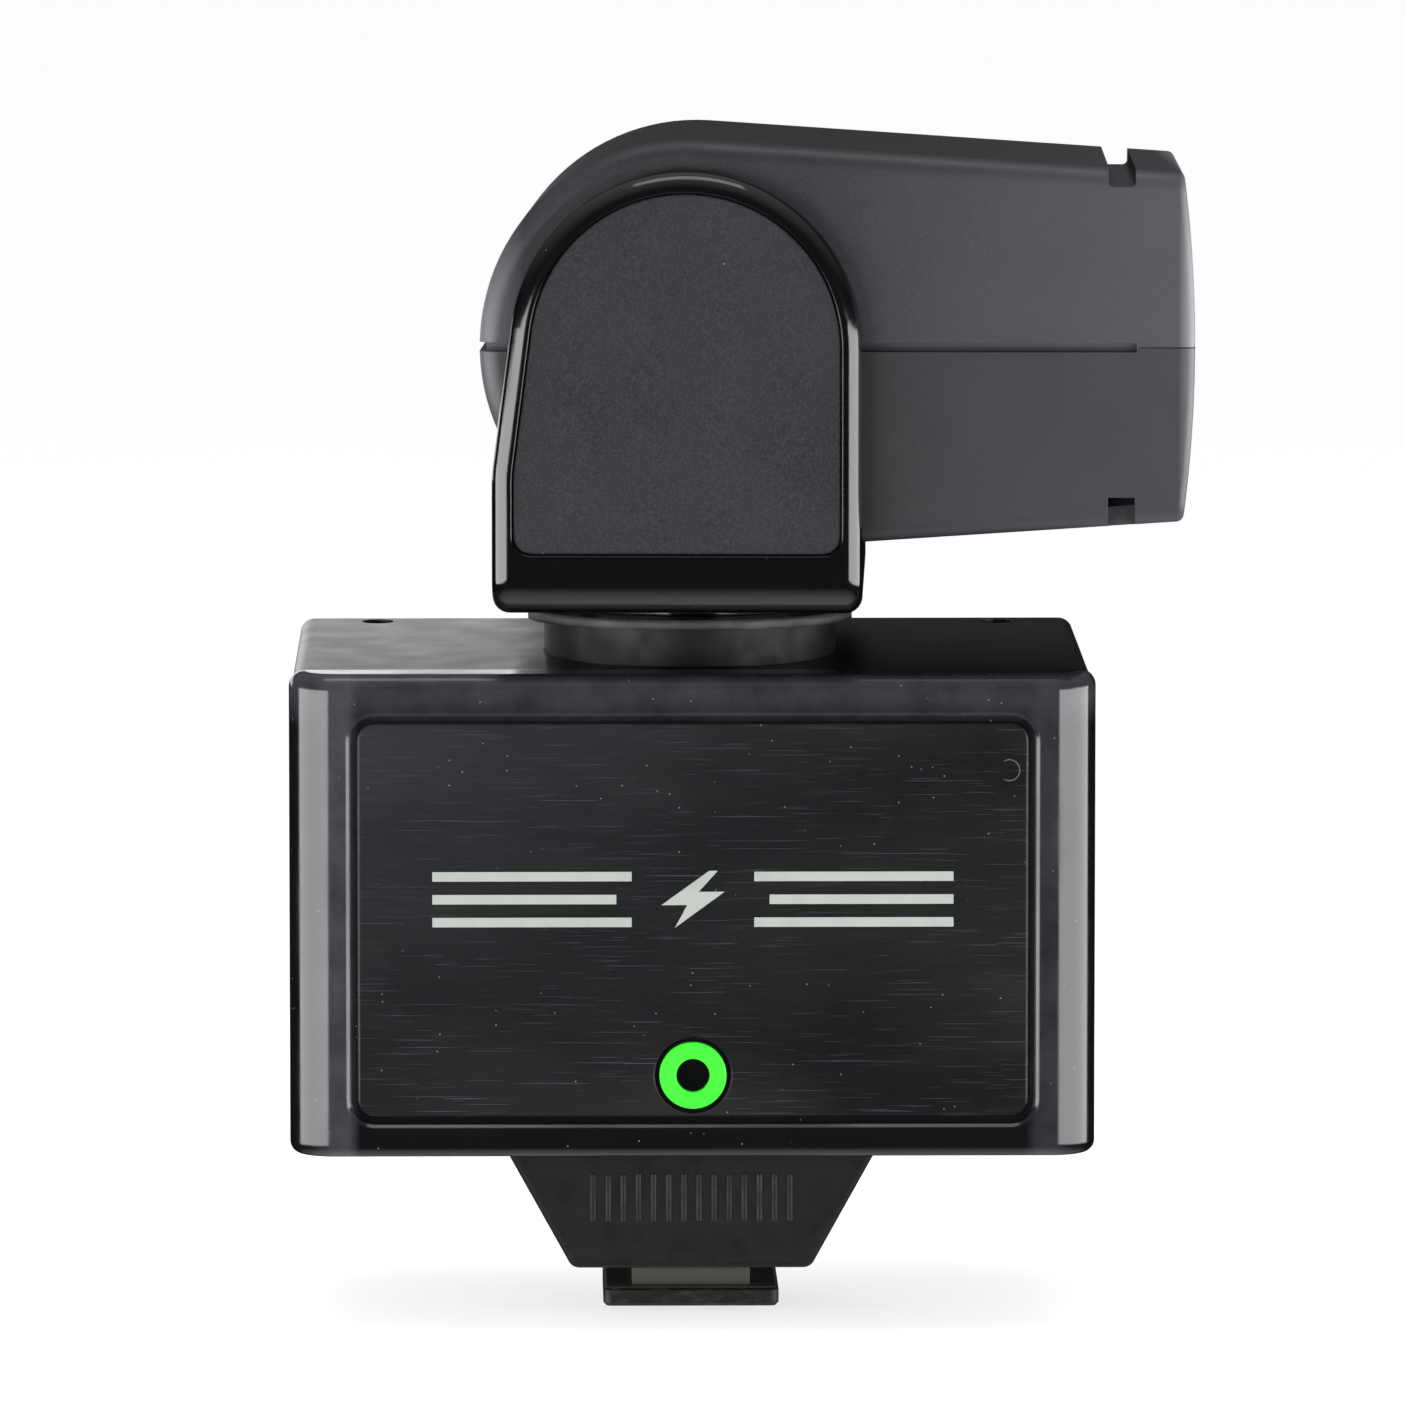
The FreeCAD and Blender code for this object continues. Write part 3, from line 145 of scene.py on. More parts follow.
def hairlines(tree, place, turn, length, width, share):
    """1 on fine straight scratches lying at this turn about Y, in degrees."""
    laid = add(tree, "ShaderNodeMapping", {
        "Vector": place, "Rotation": (0, math.radians(turn), 0), "Scale": (per(length), 1.0, per(width))})
    noise = add(tree, "ShaderNodeTexNoise", {
        "Vector": laid.outputs[0], "Scale": 1.0, "Detail": 1.0, "Roughness": 0.4}).outputs["Fac"]
    return add(tree, "ShaderNodeMapRange", {
        "Value": noise, "From Min": 1.0 - share, "From Max": 1.03 - share}).outputs[0]


def curl(tree, place, x, z, radius, width):
    """1 on one curled scratch, a ring open to the left, round a point on an upright face."""
    flat = add(tree, "ShaderNodeVectorMath", {0: place, 1: (1, 0, 1)}, operation="MULTIPLY").outputs[0]
    away = add(tree, "ShaderNodeVectorMath", {0: flat, 1: (x * MM, 0, z * MM)}, operation="DISTANCE")
    line = add(tree, "ShaderNodeMath", {0: away.outputs["Value"], 1: radius * MM, 2: width * MM},
               operation="COMPARE").outputs[0]
    return both(tree, line, ramp(tree, place, "X", x - radius * 0.6, x - radius * 0.3))


def tint(tree, shader, mask, code, amount=1.0):
    """Lays a colour over the shader's base colour where the mask is 1."""
    socket = shader.inputs["Base Color"]
    mix = add(tree, "ShaderNodeMix", {7: colour(code)}, data_type="RGBA")
    if socket.links:
        tree.links.new(socket.links[0].from_socket, mix.inputs[6])
    else:
        mix.inputs[6].default_value = socket.default_value
    share = add(tree, "ShaderNodeMath", {0: mask, 1: amount}, operation="MULTIPLY").outputs[0]
    tree.links.new(share, mix.inputs[0])
    tree.links.new(mix.outputs[2], socket)


def grained(tree, shader, place, size, depth, detail=2.0, rough=0.5):
    """Raises the surface by a cloudy grain; size and depth are in millimetres."""
    under = shader.inputs["Normal"]
    noise = add(tree, "ShaderNodeTexNoise", {
        "Vector": place, "Scale": per(size), "Detail": detail, "Roughness": rough})
    bump = add(tree, "ShaderNodeBump", {
        "Height": noise.outputs["Fac"], "Distance": depth * MM, "Strength": 1.0,
        "Normal": under.links[0].from_socket})
    tree.links.new(bump.outputs[0], under)


def patchy(tree, shader, place, size, low, high):
    """Varies the roughness between two values in patches of this size."""
    tree.links.new(clouds(tree, place, size, 0.3, 0.7, low, high, 4.0), shader.inputs["Roughness"])


# ---- finishes ----
def gloss_polycarbonate():
    """Polycarbonate from a polished mould: deep black and sharp, with a dusty haze and painted sheen over the
    band above the plate and along the side borders.
    """
    made, tree, shader, place = finish("gloss_moulded_polycarbonate", "#0a0a0d", 0.13, ior=1.52, edge=0.2)
    patchy(tree, shader, place, 9.0, 0.10, 0.20)
    grained(tree, shader, place, 2.4, 0.003)
    dust_film_and_sheen = clouds(tree, place, 5.0, 0.25, 0.65, 0.35, 1.0, 5.0, 0.65)
    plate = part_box("name_plate")[1] / MM
    # painted sheen: a pale cloudy haze over the band just above the plate stands in for the dim reflection
    # there
    tint(tree, shader, both(tree, dust_film_and_sheen, ramp(tree, place, "Z", plate.z - 0.5, plate.z + 2.5)), "#3a3b40", 0.7)
    # painted sheen along the side borders, carrying on the soft boxes' highlights, lighter on the left than
    # on the right
    for side, code, amount in ((-1, "#44454a", 0.75), (1, "#34353a", 0.7)):
        inner = ramp(tree, place, "X", side * (plate.x - 0.3), side * (plate.x + 0.9))
        outer = ramp(tree, place, "X", side * (plate.x + 4.7), side * (plate.x + 2.5))
        tint(tree, shader, both(tree, dust_film_and_sheen, inner, outer), code, amount)
    tint(tree, shader, specks(tree, place, 1.3, 0.1, 0.35), "#8a8a86", 0.6)
    return made


def satin_plate():
    """Silk-screened polycarbonate sheet: satin black, wiped in haze, with a painted sheen to the upper left,
    hairline scratches, dust.
    """
    made, tree, shader, place = finish("satin_printed_sheet", "#0d0d10", 0.3, ior=1.58, edge=0.3,
                                       Specular_IOR_Level=0.42)
    wiped = add(tree, "ShaderNodeMapping", {"Vector": place, "Scale": (0.35, 1.0, 1.0),
                                            "Rotation": (0, math.radians(12), 0)}).outputs[0]
    patchy(tree, shader, wiped, 14.0, 0.24, 0.36)
    tint(tree, shader, clouds(tree, wiped, 14.0, 0.4, 0.75, detail=5.0, rough=0.6), "#19191d", 0.7)
    # painted sheen: the plate is lightened towards its upper left
    corner = both(tree, ramp(tree, place, "X", 20.0, -36.0), ramp(tree, place, "Z", 24.0, 66.0))
    tint(tree, shader, corner, "#292a2f", 0.6)
    for turn, length, width, share in ((8, 14, 0.09, 0.31), (-35, 9, 0.07, 0.28), (62, 7, 0.07, 0.28)):
        tint(tree, shader, hairlines(tree, place, turn, length, width, share), "#55555b", 0.6)
    tint(tree, shader, curl(tree, place, x=33.0, z=58.5, radius=1.1, width=0.04), "#8a8a8c", 0.5)
    tint(tree, shader, specks(tree, place, 1.2, 0.1, 0.3), "#85857e", 0.7)
    grained(tree, shader, place, 0.5, 0.002)
    return made


def gloss_abs():
    """Moulded ABS with a polished face: near black, clear highlights, a little dust."""
    made, tree, shader, place = finish("gloss_moulded_abs", "#050507", 0.12, ior=1.6, edge=0.2)
    patchy(tree, shader, place, 6.0, 0.06, 0.13)
    grained(tree, shader, place, 1.8, 0.003)
    tint(tree, shader, specks(tree, place, 1.9, 0.1, 0.25), "#6a6a66", 0.5)
    return made


def turned_collar():
    """Collar's moulding, worn by the yoke: matt black, its top lip paler from wear marks and a painted
    highlight where it turns.
    """
    made, tree, shader, place = finish("worn_black_abs_painted_lip", "#0a0a0c", 0.5, Specular_IOR_Level=0.3)
    wear_and_sheen = clouds(tree, place, 2.5, 0.3, 0.7, 0.5, 1.0, 5.0, 0.7)
    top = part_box("swivel_collar")[1].z / MM
    # painted highlight broken up by wear marks: the top lip is lightened where the flange's top face catches
    # the light
    tint(tree, shader, both(tree, wear_and_sheen, ramp(tree, place, "Z", top - 1.0, top - 0.7)), "#4b4c4f", 0.8)
    patchy(tree, shader, place, 3.0, 0.4, 0.6)
    grained(tree, shader, place, 0.5, 0.006)
    return made


def eroded_abs(name, base, light, size, depth, roughness, shine=0.3):
    """ABS from a spark-eroded mould: matt, with a fine grain that catches the light as speckle."""
    made, tree, shader, place = finish(name, base, roughness, ior=1.54, Specular_IOR_Level=shine)
    tint(tree, shader, clouds(tree, place, size, 0.42, 0.72, rough=0.6), light, 0.8)
    tint(tree, shader, clouds(tree, place, 12.0, 0.35, 0.7, detail=3.0), light, 0.25)
    patchy(tree, shader, place, 5.0, roughness * 0.92, roughness * 1.1)
    grained(tree, shader, place, size, depth, rough=0.6)
    tint(tree, shader, specks(tree, place, 3.1, 0.12, 0.25), "#8a8a84", 0.6)
    return made, tree, shader, place


def head_abs():
    """The head's eroded ABS: lighter towards the front, with painted highlights on the front edge and the
    drum's left edge, painted shade on top and over the lower shell, parted by a hairline.
    """
    made, tree, shader, place = eroded_abs(
        "spark_eroded_abs_head", "#222327", "#34353b", 0.22, 0.02, 0.46, 0.5)
    tint(tree, shader, ramp(tree, place, "X", 12.0, 52.0), "#4f5056", 0.5)
    # painted highlight: a bright strip along the rounding of the head's front edge
    tint(tree, shader, ramp(tree, place, "X", 50.2, 51.6), "#8a8b90", 0.9)
    # painted sheen on the drum's left edge, where it faces the left light
    tint(tree, shader, ramp(tree, place, "X", -17.5, -21.3), "#6d6e73", 0.7)
    # painted shade: the top of the head is darkened
    tint(tree, shader, ramp(tree, place, "Z", 120.0, 124.0), "#17181b", 0.5)
    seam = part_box("head_lower")[1].z / MM
    # painted shade: the lower shell, below the seam, is darkened
    tint(tree, shader, ramp(tree, place, "Z", seam, seam - 0.1), "#0a0a0c", 0.42)
    line = both(tree, ramp(tree, place, "Z", seam - 0.09, seam - 0.05),
                ramp(tree, place, "Z", seam + 0.09, seam + 0.05), ramp(tree, place, "X", 46.0, 46.2))
    tint(tree, shader, line, "#08080a")
    return made


def matt_nylon(name, base, light):
    """Glass-filled nylon: matt, slightly mottled where the fibres meet the surface."""
    made, tree, shader, place = finish(name, base, 0.5, ior=1.53, Specular_IOR_Level=0.3)
    tint(tree, shader, clouds(tree, place, 0.5, 0.45, 0.7, detail=5.0, rough=0.7), light, 0.6)
    patchy(tree, shader, place, 2.5, 0.42, 0.6)
    grained(tree, shader, place, 0.35, 0.008)
    return made, tree, shader, place


def worn_nylon():
    """The foot's nylon, scuffed by the camera's rails: dull black with grey rub marks, more on top."""
    made, tree, shader, place = matt_nylon("rubbed_black_nylon", "#050505", "#0e0e0d")
    rail_top = 2.05
    tint(tree, shader, ramp(tree, place, "Z", rail_top - 0.15, rail_top), "#4a4b46", 0.75)
    rub = add(tree, "ShaderNodeMapping", {"Vector": place, "Scale": (1.0, 0.25, 2.5)}).outputs[0]
    tint(tree, shader, clouds(tree, rub, 1.8, 0.52, 0.68, detail=5.0, rough=0.7), "#3c3c36", 0.4)
    return made


def metal(name, base, roughness, size=0.4):
    """Bare or plated metal: bright, with the fine tumbled texture of small stamped parts."""
    made, tree, shader, place = finish(name, base, roughness, metallic=1.0, edge=0.05)
    patchy(tree, shader, place, size, roughness * 0.7, roughness * 1.4)
    grained(tree, shader, place, size, 0.002)
    return made


def brushed_reflector():
    """Bright-anodised aluminium, brushed along the trough."""
    made, tree, shader, place = finish("bright_anodised_aluminium", "#d9dadb", 0.16, metallic=1.0, edge=0.05)
    lines = add(tree, "ShaderNodeMapping", {"Vector": place, "Scale": (1.0, 0.04, 1.0)}).outputs[0]
    grained(tree, shader, lines, 0.25, 0.002)
    return made


def dyed_pom(name, base, dark, roughness=0.35):
    """Acetal moulded in its colour: even, slightly waxy, darker in the mould's texture."""
    made, tree, shader, place = finish(name, base, roughness, ior=1.48)
    tint(tree, shader, clouds(tree, place, 0.5, 0.45, 0.75, detail=3.0), dark, 0.35)
    grained(tree, shader, place, 0.3, 0.003)
    return made


def tinted_lens():
    """Dark infrared-passing lens over the sensor: almost black glass."""
    made, tree, shader, place = finish("dark_sensor_resin", "#06060a", 0.06, ior=1.56)
    patchy(tree, shader, place, 1.2, 0.04, 0.12)
    return made


def lamp_resin():
    """Orange translucent polystyrene of the ready lamp."""
    made, tree, shader, place = finish("orange_lamp_resin", "#e0641a", 0.15, ior=1.59,
                                       Transmission_Weight=0.35)
    tint(tree, shader, clouds(tree, place, 0.8, 0.4, 0.7, detail=3.0), "#a83d0c", 0.5)
    return made


def cell_jacket():
    """Printed shrink sleeve of a battery cell: graphite with a copper end and bare steel cap."""
    made, tree, shader, place = finish("printed_cell_sleeve", "#2a2b2e", 0.3, metallic=0.2)
    copper, steel = 25.8, 37.9          # where each band begins along the cells
    tint(tree, shader, ramp(tree, place, "X", copper, copper + 0.1), "#a8683a")
    for at in (copper - 1.3, copper - 0.6):
        line = both(tree, ramp(tree, place, "X", at - 0.2, at - 0.15),
                    ramp(tree, place, "X", at + 0.2, at + 0.15))
        tint(tree, shader, line, "#d8d4cc")
    tint(tree, shader, ramp(tree, place, "X", steel, steel + 0.1), "#9a9c9e")
    tint(tree, shader, specks(tree, place, 3.0, 0.15, 0.3), "#4c4d52", 0.5)
    grained(tree, shader, place, 3.0, 0.01)
    return made


def solder_mask():
    """Glass-epoxy board under green solder mask, with copper tracks showing through as lighter lines."""
    made, tree, shader, place = finish("green_solder_mask", "#12502c", 0.35, ior=1.55)
    width = 0.5
    for axis, spacing, patch in (("X", 1.9, 7.0), ("Z", 2.6, 9.0)):
        at = add(tree, "ShaderNodeSeparateXYZ", {"Vector": place}).outputs[axis]
        wave = add(tree, "ShaderNodeMath", {0: at, 1: spacing * MM}, operation="FLOORED_MODULO").outputs[0]
        track = add(tree, "ShaderNodeMath", {0: wave, 1: width * MM}, operation="LESS_THAN").outputs[0]
        laid = clouds(tree, place, patch, 0.5, 0.52, detail=1.0)
        tint(tree, shader, both(tree, track, laid), "#2f8a4e", 0.8)
    grained(tree, shader, place, 0.7, 0.01)
    return made


def sleeve_pvc():
    """Shrunk PVC sleeve of the flash capacitor: dark blue-black with a pale stripe down it."""
    made, tree, shader, place = finish("shrunk_pvc_sleeve", "#15171f", 0.28, ior=1.53)
    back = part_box("main_capacitor")[1].y / MM
    tint(tree, shader, ramp(tree, place, "Y", back - 1.0, back - 0.9), "#b9bcc2", 0.9)
    grained(tree, shader, place, 4.0, 0.03)
    tint(tree, shader, specks(tree, place, 2.5, 0.15, 0.3), "#3a3c44", 0.6)
    return made


def ferrite_and_tape():
    """Polyester tape round a ferrite core: glossy yellow, wrinkled at its edges."""
    made, tree, shader, place = finish("yellow_polyester_tape", "#c9a227", 0.25, ior=1.55)
    wraps = add(tree, "ShaderNodeTexWave", {"Vector": place, "Scale": per(7.0), "Distortion": 1.5},
                bands_direction="Z").outputs["Fac"]
    tint(tree, shader, wraps, "#8f6d12", 0.4)
    grained(tree, shader, place, 1.5, 0.03, 4.0)
    return made


def prismatic_acrylic():
    """Clear acrylic window, its inner face ribbed to spread the light."""
    made, tree, shader, place = finish("prismatic_clear_acrylic", "#dfe9ee", 0.08, ior=1.49,
                                       Transmission_Weight=0.92)
    half_pitch = 1.1
    at = add(tree, "ShaderNodeSeparateXYZ", {"Vector": place}).outputs["Z"]
    step = add(tree, "ShaderNodeMath", {0: at, 1: half_pitch * MM}, operation="PINGPONG").outputs[0]
    prisms = add(tree, "ShaderNodeBump", {"Height": step, "Distance": 0.35, "Strength": 1.0})
    tree.links.new(prisms.outputs[0], shader.inputs["Normal"])
    grained(tree, shader, place, 0.8, 0.004)
    return made


def quartz_glass():
    """Quartz tube: clear, faintly smoky in patches."""
    made, tree, shader, place = finish("quartz_tube_glass", "#f2f4f4", 0.03, ior=1.46,
                                       Transmission_Weight=0.95)
    tint(tree, shader, clouds(tree, place, 5.0, 0.5, 0.8), "#b9b6ae", 0.5)
    return made


def rubber(name, base):
    """Silicone rubber: dull, slightly powdery."""
    made, tree, shader, place = finish(name, base, 0.75, ior=1.41)
    tint(tree, shader, clouds(tree, place, 1.0, 0.45, 0.75, detail=4.0), "#8d8d88", 0.15)
    grained(tree, shader, place, 0.4, 0.01)
    return made


def printing_ink():
    """Screen-printed grey ink: flat, with tiny pinholes where the black shows through."""
    made, tree, shader, place = finish("screen_printed_grey_ink", "#a2a6a2", 0.5, edge=0.02)
    tint(tree, shader, specks(tree, place, 0.6, 0.05, 0.2), "#8f928f", 0.6)
    tint(tree, shader, clouds(tree, place, 3.0, 0.45, 0.75, detail=3.0), "#979b98", 0.5)
    return made


def floor_paint():
    """Plain white studio surface."""
    made, tree, shader, place = finish("white_studio_board", "#f2f2f2", 0.7)
    tint(tree, shader, clouds(tree, place, 60.0, detail=3.0), "#ededed", 0.5)
    shader.inputs["Emission Color"].default_value = (1, 1, 1, 1)
    shader.inputs["Emission Strength"].default_value = 0.7
    return made


FINISHES = {
    gloss_polycarbonate(): ["front_cover"],
    satin_plate(): ["name_plate"],
    gloss_abs(): ["yoke"],
    turned_collar(): ["swivel_collar"],
    head_abs(): ["head_upper", "head_lower"],
    eroded_abs("spark_eroded_abs_covers", "#191a1d", "#34353a", 0.26, 0.03, 0.52)[0]: ["side_covers"],
    eroded_abs("satin_moulded_abs_case", "#0c0c0e", "#161618", 0.3, 0.006, 0.3, 0.5)[0]: [
        "rear_case", "battery_door"],
    eroded_abs("moulded_abs_panel", "#131315", "#202023", 0.3, 0.012, 0.42)[0]: ["rear_panel"],
    matt_nylon("matt_glass_filled_nylon", "#070709", "#0f0f11")[0]: ["shoe_block"],
    worn_nylon(): ["foot"],
    matt_nylon("moulded_grey_abs_inside", "#3c3d40", "#4c4d50")[0]: ["inner_frame", "battery_tray"],
    dyed_pom("black_acetal_switches", "#121214", "#1f1f22"): [
        "power_switch", "mode_switch", "test_button", "lock_lever"],
    dyed_pom("green_moulded_acetal", "#33ff26", "#28d81c", 0.45): ["sensor_ring"],
    tinted_lens(): ["sensor_cell"],
    lamp_resin(): ["ready_lamp"],
    metal("zinc_plated_steel", "#b9bbbd", 0.3): [
        "foot_screws", "block_screws", "swivel_click_plate", "swivel_washer", "tilt_axles", "tilt_washers",
        "door_hinge_pin", "swivel_nut"],
    metal("blackened_steel_screws", "#26262a", 0.35): [
        "case_screws", "head_screws", "swivel_screws", "tilt_screws"],
    metal("drawn_spring_steel", "#8f9296", 0.25, 0.2): ["lock_spring", "sync_spring", "test_spring"],
    metal("nickel_plated_brass", "#c9c6bd", 0.2): [
        "contact_bridge", "inner_contacts", "door_contact", "lock_pin"],
    metal("gold_plated_contact", "#d8b25a", 0.2): ["sync_pin"],
    cell_jacket(): ["battery_cells"],
    solder_mask(): ["circuit_board", "trigger_board"],
    sleeve_pvc(): ["main_capacitor"],
    ferrite_and_tape(): ["transformer"],
    prismatic_acrylic(): ["front_window"],
    brushed_reflector(): ["reflector"],
    quartz_glass(): ["flash_tube"],
    rubber("grey_silicone_rubber", "#55555a"): ["tube_sleeves"],
}
for made, named in FINISHES.items():
    for name in named:
        body = nodes[name]
        if not body.material_slots:
            body.data.materials.append(made)
        for held in body.material_slots:
            held.material = made


# the coil springs, each listed with its joint, axis, still end and travel, get meshes of their own
for name, joint, axis, end, travel in (("test_spring", "test_press", 1, 0, 1.2),
                                       ("lock_spring", "lock_pin_drop", 2, 0, 1.3),
                                       ("sync_spring", "sync_pin_press", 2, 1, 0.5)):
    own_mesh(nodes[name])


# ---- pieces the moulds and printing add ----
def piece(name, mesh, material, body):
    """Puts a finished mesh on a CAD body."""
    made = bpy.data.objects.new(name, mesh)
    scene.collection.objects.link(made)
    mesh.materials.clear()
    mesh.materials.append(material)
    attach(made, body)


def outlines(name, shapes, y, thickness):
    """Flat shapes given as (x, z) outlines in millimetres, thickened towards the front from plane y."""
    mesh = bpy.data.meshes.new(name)
    work = bmesh.new()
    for shape in shapes:
        face = work.faces.new([work.verts.new((x * MM, y * MM, z * MM)) for x, z in shape])
        grown = bmesh.ops.extrude_face_region(work, geom=[face])["geom"]
        for v in grown:
            if isinstance(v, bmesh.types.BMVert):
                v.co.y -= thickness * MM
    bmesh.ops.recalc_face_normals(work, faces=work.faces)
    work.to_mesh(mesh)
    work.free()
    return mesh


def row_tree(name, kind, shape):
    """Node tree that stands equal shapes in a row; shape gives the shape's sockets by input name."""
    tree = bpy.data.node_groups.new(name, "GeometryNodeTree")
    for label, sort in (("Size", "Vector"), ("Radius", "Float"), ("Length", "Float"), ("Start", "Vector"),
                        ("Step", "Vector"), ("Count", "Int"), ("Material", "Material")):
        tree.interface.new_socket(label, in_out="INPUT", socket_type="NodeSocket" + sort)
    tree.interface.new_socket("Geometry", in_out="OUTPUT", socket_type="NodeSocketGeometry")
    given = add(tree, "NodeGroupInput").outputs
    line = add(tree, "GeometryNodeMeshLine", {
        "Count": given["Count"], "Start Location": given["Start"], "Offset": given["Step"]}, mode="OFFSET")
    one = add(tree, kind, {socket: given[label] for socket, label in shape.items()})
    stood = add(tree, "GeometryNodeInstanceOnPoints", {"Points": line.outputs[0], "Instance": one.outputs[0]})
    real = add(tree, "GeometryNodeRealizeInstances", {"Geometry": stood.outputs[0]})
    named = add(tree, "GeometryNodeSetMaterial", {"Geometry": real.outputs[0], "Material": given["Material"]})
    add(tree, "NodeGroupOutput", {"Geometry": named.outputs[0]})
    return tree


def row(name, tree, material, body, **inputs):
    """A row from the tree as one mesh on a body; lengths in millimetres."""
    holder = bpy.data.objects.new(name + "_row", bpy.data.meshes.new(name + "_row"))
    scene.collection.objects.link(holder)
    maker = holder.modifiers.new("row", "NODES")
    maker.node_group = tree
    sockets = {item.name: item.identifier for item in tree.interface.items_tree if item.in_out == "INPUT"}
    maker[sockets["Material"]] = material
    for key, value in inputs.items():
        if isinstance(value, tuple):
            maker[sockets[key]] = [v * MM for v in value]
        else:
            maker[sockets[key]] = value if key == "Count" else value * MM
    view = bpy.context.evaluated_depsgraph_get()
    mesh = bpy.data.meshes.new_from_object(holder.evaluated_get(view))
    holder.modifiers.remove(maker)
    bpy.data.objects.remove(holder)
    mesh.name = name
    piece(name, mesh, material, body)


def bar(x0, x1, z0, z1):
    """A rectangle's outline for outlines()."""
    return [(x0, z0), (x1, z0), (x1, z1), (x0, z1)]


INK = 0.04                  # thickness of the printing
BED = 0.01                  # the plate's printing starts this deep, the panel's middle stands this proud
BAR_END = 27.2              # how far the plate's bars reach from the middle
BOLT = [(1.7, 48.0), (-3.3, 44.4), (-0.6, 44.4), (-1.9, 42.0), (3.3, 45.8), (0.6, 45.8), (2.6, 48.0)]
plate_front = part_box("name_plate")[0].y / MM
ink = printing_ink()
marks = []
for side in (-1, 1):
    for low, high, near in ((46.9, 47.9, 6.4), (44.5, 45.5, 8.0), (42.1, 43.1, 6.4)):
        marks.append(bar(*sorted((side * near, side * BAR_END)), low, high))
marks.append(BOLT)
piece("plate_marks", outlines("plate_marks", marks, plate_front + BED, INK), ink, "case")

ribs = row_tree("row_of_ribs", "GeometryNodeMeshCylinder", {"Radius": "Radius", "Depth": "Length"})
ticks = row_tree("row_of_ticks", "GeometryNodeMeshCube", {"Size": "Size"})
block_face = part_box("shoe_block")[0].y / MM
print_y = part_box("rear_panel")[1].y / MM + BED
tick = (0.35, INK, 1.3)
tick_z = 56.4
door_low, door_high = (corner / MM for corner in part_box("battery_door"))
door_middle = (door_low.z + door_high.z) / 2
row("block_ribs", ribs, nodes["shoe_block"].material_slots[0].material, "case",
    Radius=0.38, Length=5.0, Start=(-10.4, block_face + 0.16, 11.9), Step=(1.6, 0, 0), Count=14)
row("door_ribs", ribs, nodes["battery_door"].material_slots[0].material, "battery_door",
    Radius=0.3, Length=4.0, Start=(door_high.x - 0.1, door_low.y + 3.0, door_middle),
    Step=(0, 1.25, 0), Count=5)
row("panel_rules", ticks, ink, "case",
    Size=(54.0, INK, 0.25), Start=(0, print_y, 30.0), Step=(0, 0, 4.6), Count=5)
row("power_ticks", ticks, ink, "case",
    Size=tick, Start=(20.8, print_y, tick_z), Step=(4.2, 0, 0), Count=3)
row("mode_ticks", ticks, ink, "case",
    Size=tick, Start=(-24.4, print_y, tick_z), Step=(2.2, 0, 0), Count=5)


# ---- studio ----
def studio_floor():
    """A round white table top just below the object; it casts no shadow and the gloss doesn't see it."""
    radius, gap = 14.0, 0.2 * MM
    mesh = bpy.data.meshes.new("studio_floor")
    work = bmesh.new()
    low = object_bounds()[0].z
    bmesh.ops.create_circle(work, cap_ends=True, segments=96, radius=radius)
    bmesh.ops.translate(work, verts=work.verts, vec=(0, 0, low - gap))
    work.to_mesh(mesh)
    work.free()
    made = bpy.data.objects.new("studio_floor", mesh)
    mesh.materials.append(floor_paint())
    scene.collection.objects.link(made)
    made.visible_glossy = False
    made.visible_shadow = False
    made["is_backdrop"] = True


def soft_light(name, at, aim, size, brightness):
    """A soft box of this width and height in metres, aimed at a point; brightness is that of its face."""
    light = bpy.data.lights.new(name, "AREA")
    light.shape, light.size, light.size_y = "RECTANGLE", *size
    light.energy = brightness * math.pi * size[0] * size[1]
    made = bpy.data.objects.new(name, light)
    made.location = at
    made.rotation_mode = "QUATERNION"
    made.rotation_quaternion = (Vector(aim) - Vector(at)).to_track_quat("-Z", "Y")
    made.visible_camera = False
    scene.collection.objects.link(made)


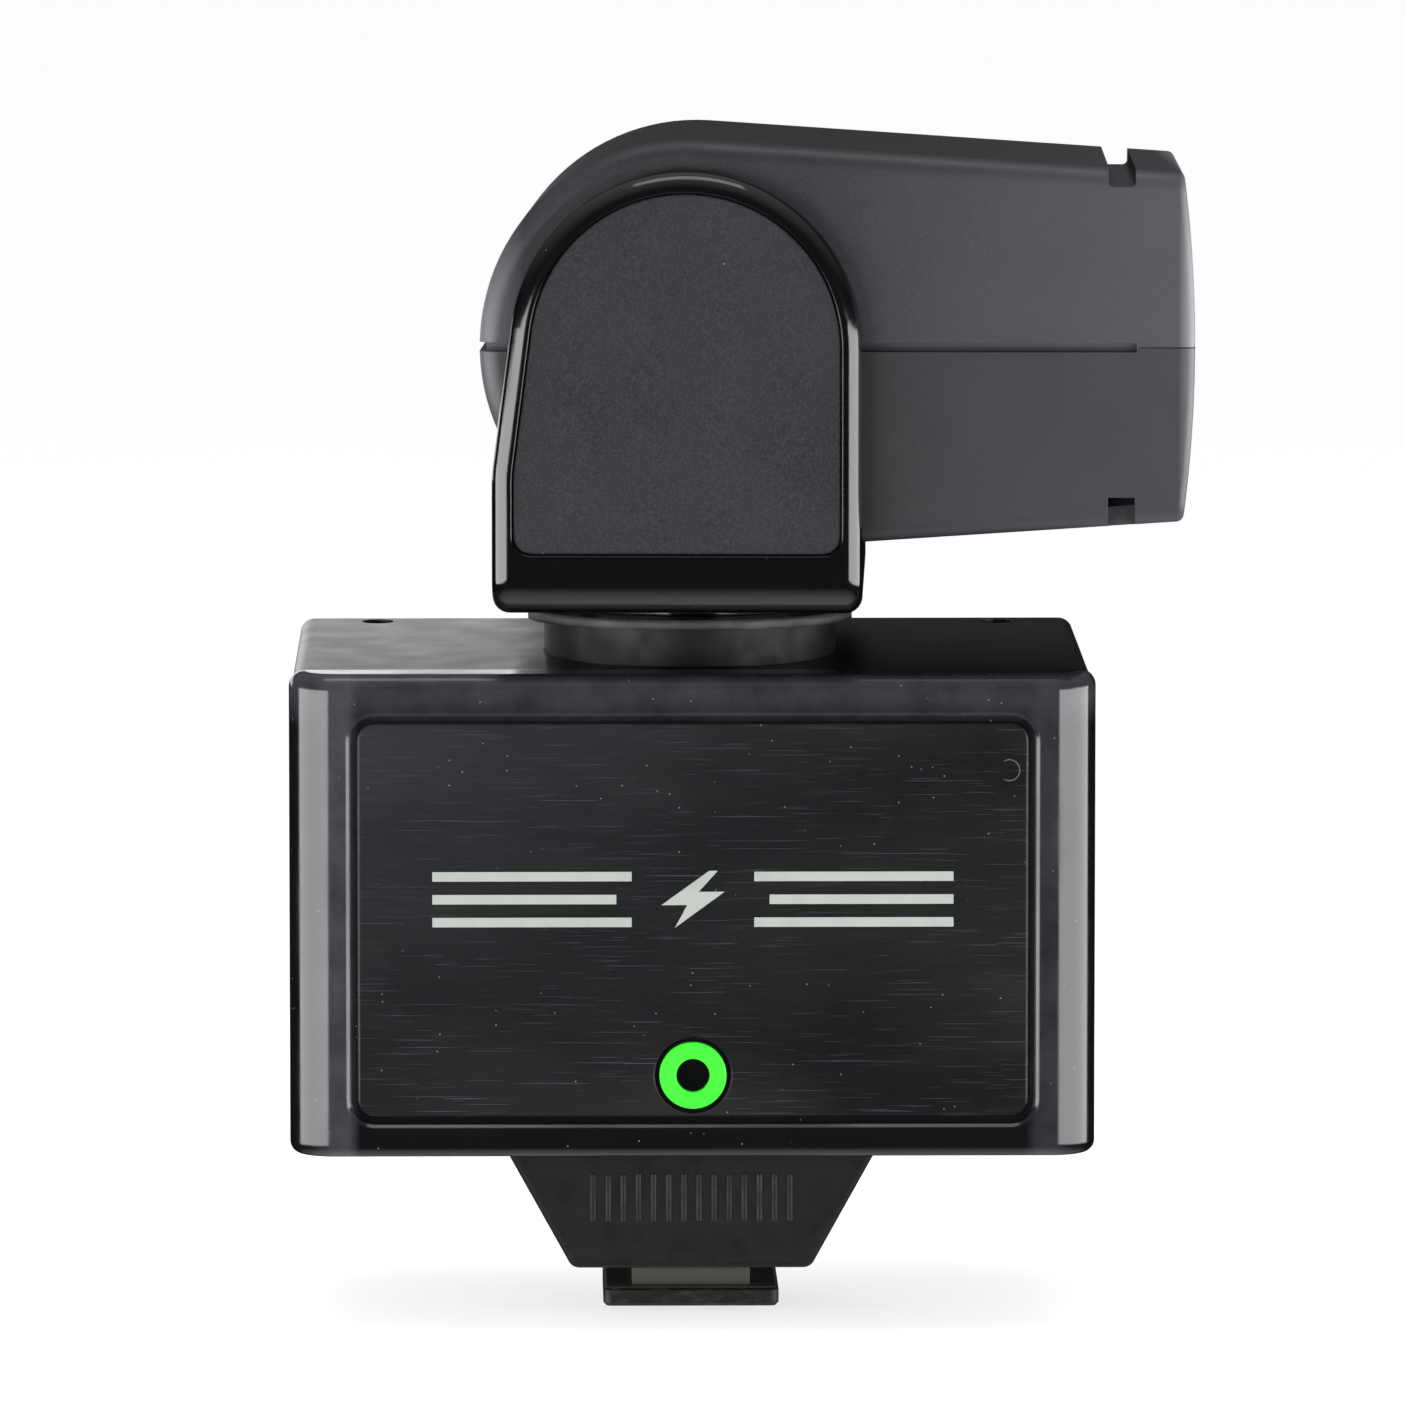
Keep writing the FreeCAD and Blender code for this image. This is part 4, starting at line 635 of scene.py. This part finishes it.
def surroundings():
    """A dim studio with a pale ceiling and a white table; what the camera sees straight is white."""
    world = bpy.data.worlds.new("surroundings")
    scene.world = world
    world.use_nodes = True
    tree = world.node_tree
    tree.nodes.clear()
    way = add(tree, "ShaderNodeTexCoord").outputs["Generated"]
    parts = add(tree, "ShaderNodeSeparateXYZ", {"Vector": way})
    light = 0.0
    for axis, low, high, at_low, at_high in (("Y", -0.2, 0.3, 0.06, 0.008), ("Z", 0.2, 0.9, 0.0, 0.5),
                                             ("Z", -0.95, -0.55, 0.9, 0.0)):
        part = add(tree, "ShaderNodeMapRange", {
            "Value": parts.outputs[axis], "From Min": low, "From Max": high,
            "To Min": at_low, "To Max": at_high}).outputs[0]
        light = add(tree, "ShaderNodeMath", {0: light, 1: part}, operation="MAXIMUM").outputs[0]
    seen = add(tree, "ShaderNodeLightPath").outputs["Is Camera Ray"]
    light = add(tree, "ShaderNodeMath", {0: light, 1: seen}, operation="MAXIMUM").outputs[0]
    backdrop = add(tree, "ShaderNodeBackground", {"Color": (1, 1, 1, 1), "Strength": light})
    add(tree, "ShaderNodeOutputWorld", {"Surface": backdrop.outputs[0]})


def camera():
    """Long lens at the object's front, just above it and a little to its left."""
    lens = bpy.data.cameras.new("camera")
    lens.sensor_width, lens.lens = 36.0, 282.7
    lens.clip_start, lens.clip_end = 0.05, 60.0
    made = bpy.data.objects.new("camera", lens)
    distance, rise, left = 1.174, math.radians(5.3), math.radians(0.84)
    target = Vector((0.00139, 0.0, 0.0634))
    back = Vector((-math.sin(left) * math.cos(rise), -math.cos(left) * math.cos(rise), math.sin(rise)))
    made.location = target + distance * back
    made.rotation_mode = "QUATERNION"
    made.rotation_quaternion = (-back).to_track_quat("-Z", "Y")
    scene.collection.objects.link(made)
    scene.camera = made


studio_floor()
surroundings()
camera()
MIDDLE = (0.0, 0.0, 0.0)
soft_light("left_soft_box", (-0.533, -0.320, 0.01), MIDDLE, (1.01, 0.26), 6.5)
soft_light("right_soft_box", (0.545, -0.248, 0.01), MIDDLE, (1.06, 0.26), 6.3)
soft_light("top_soft_box", (0.0, -0.1, 0.8), (0.0, 0.0, 0.1), (0.5, 0.3), 2.2)
soft_light("rear_left_card", (-0.128, 0.22, 0.098), (-0.03, 0.0, 0.07), (0.245, 0.055), 1.8)
scene.view_settings.view_transform = "Standard"
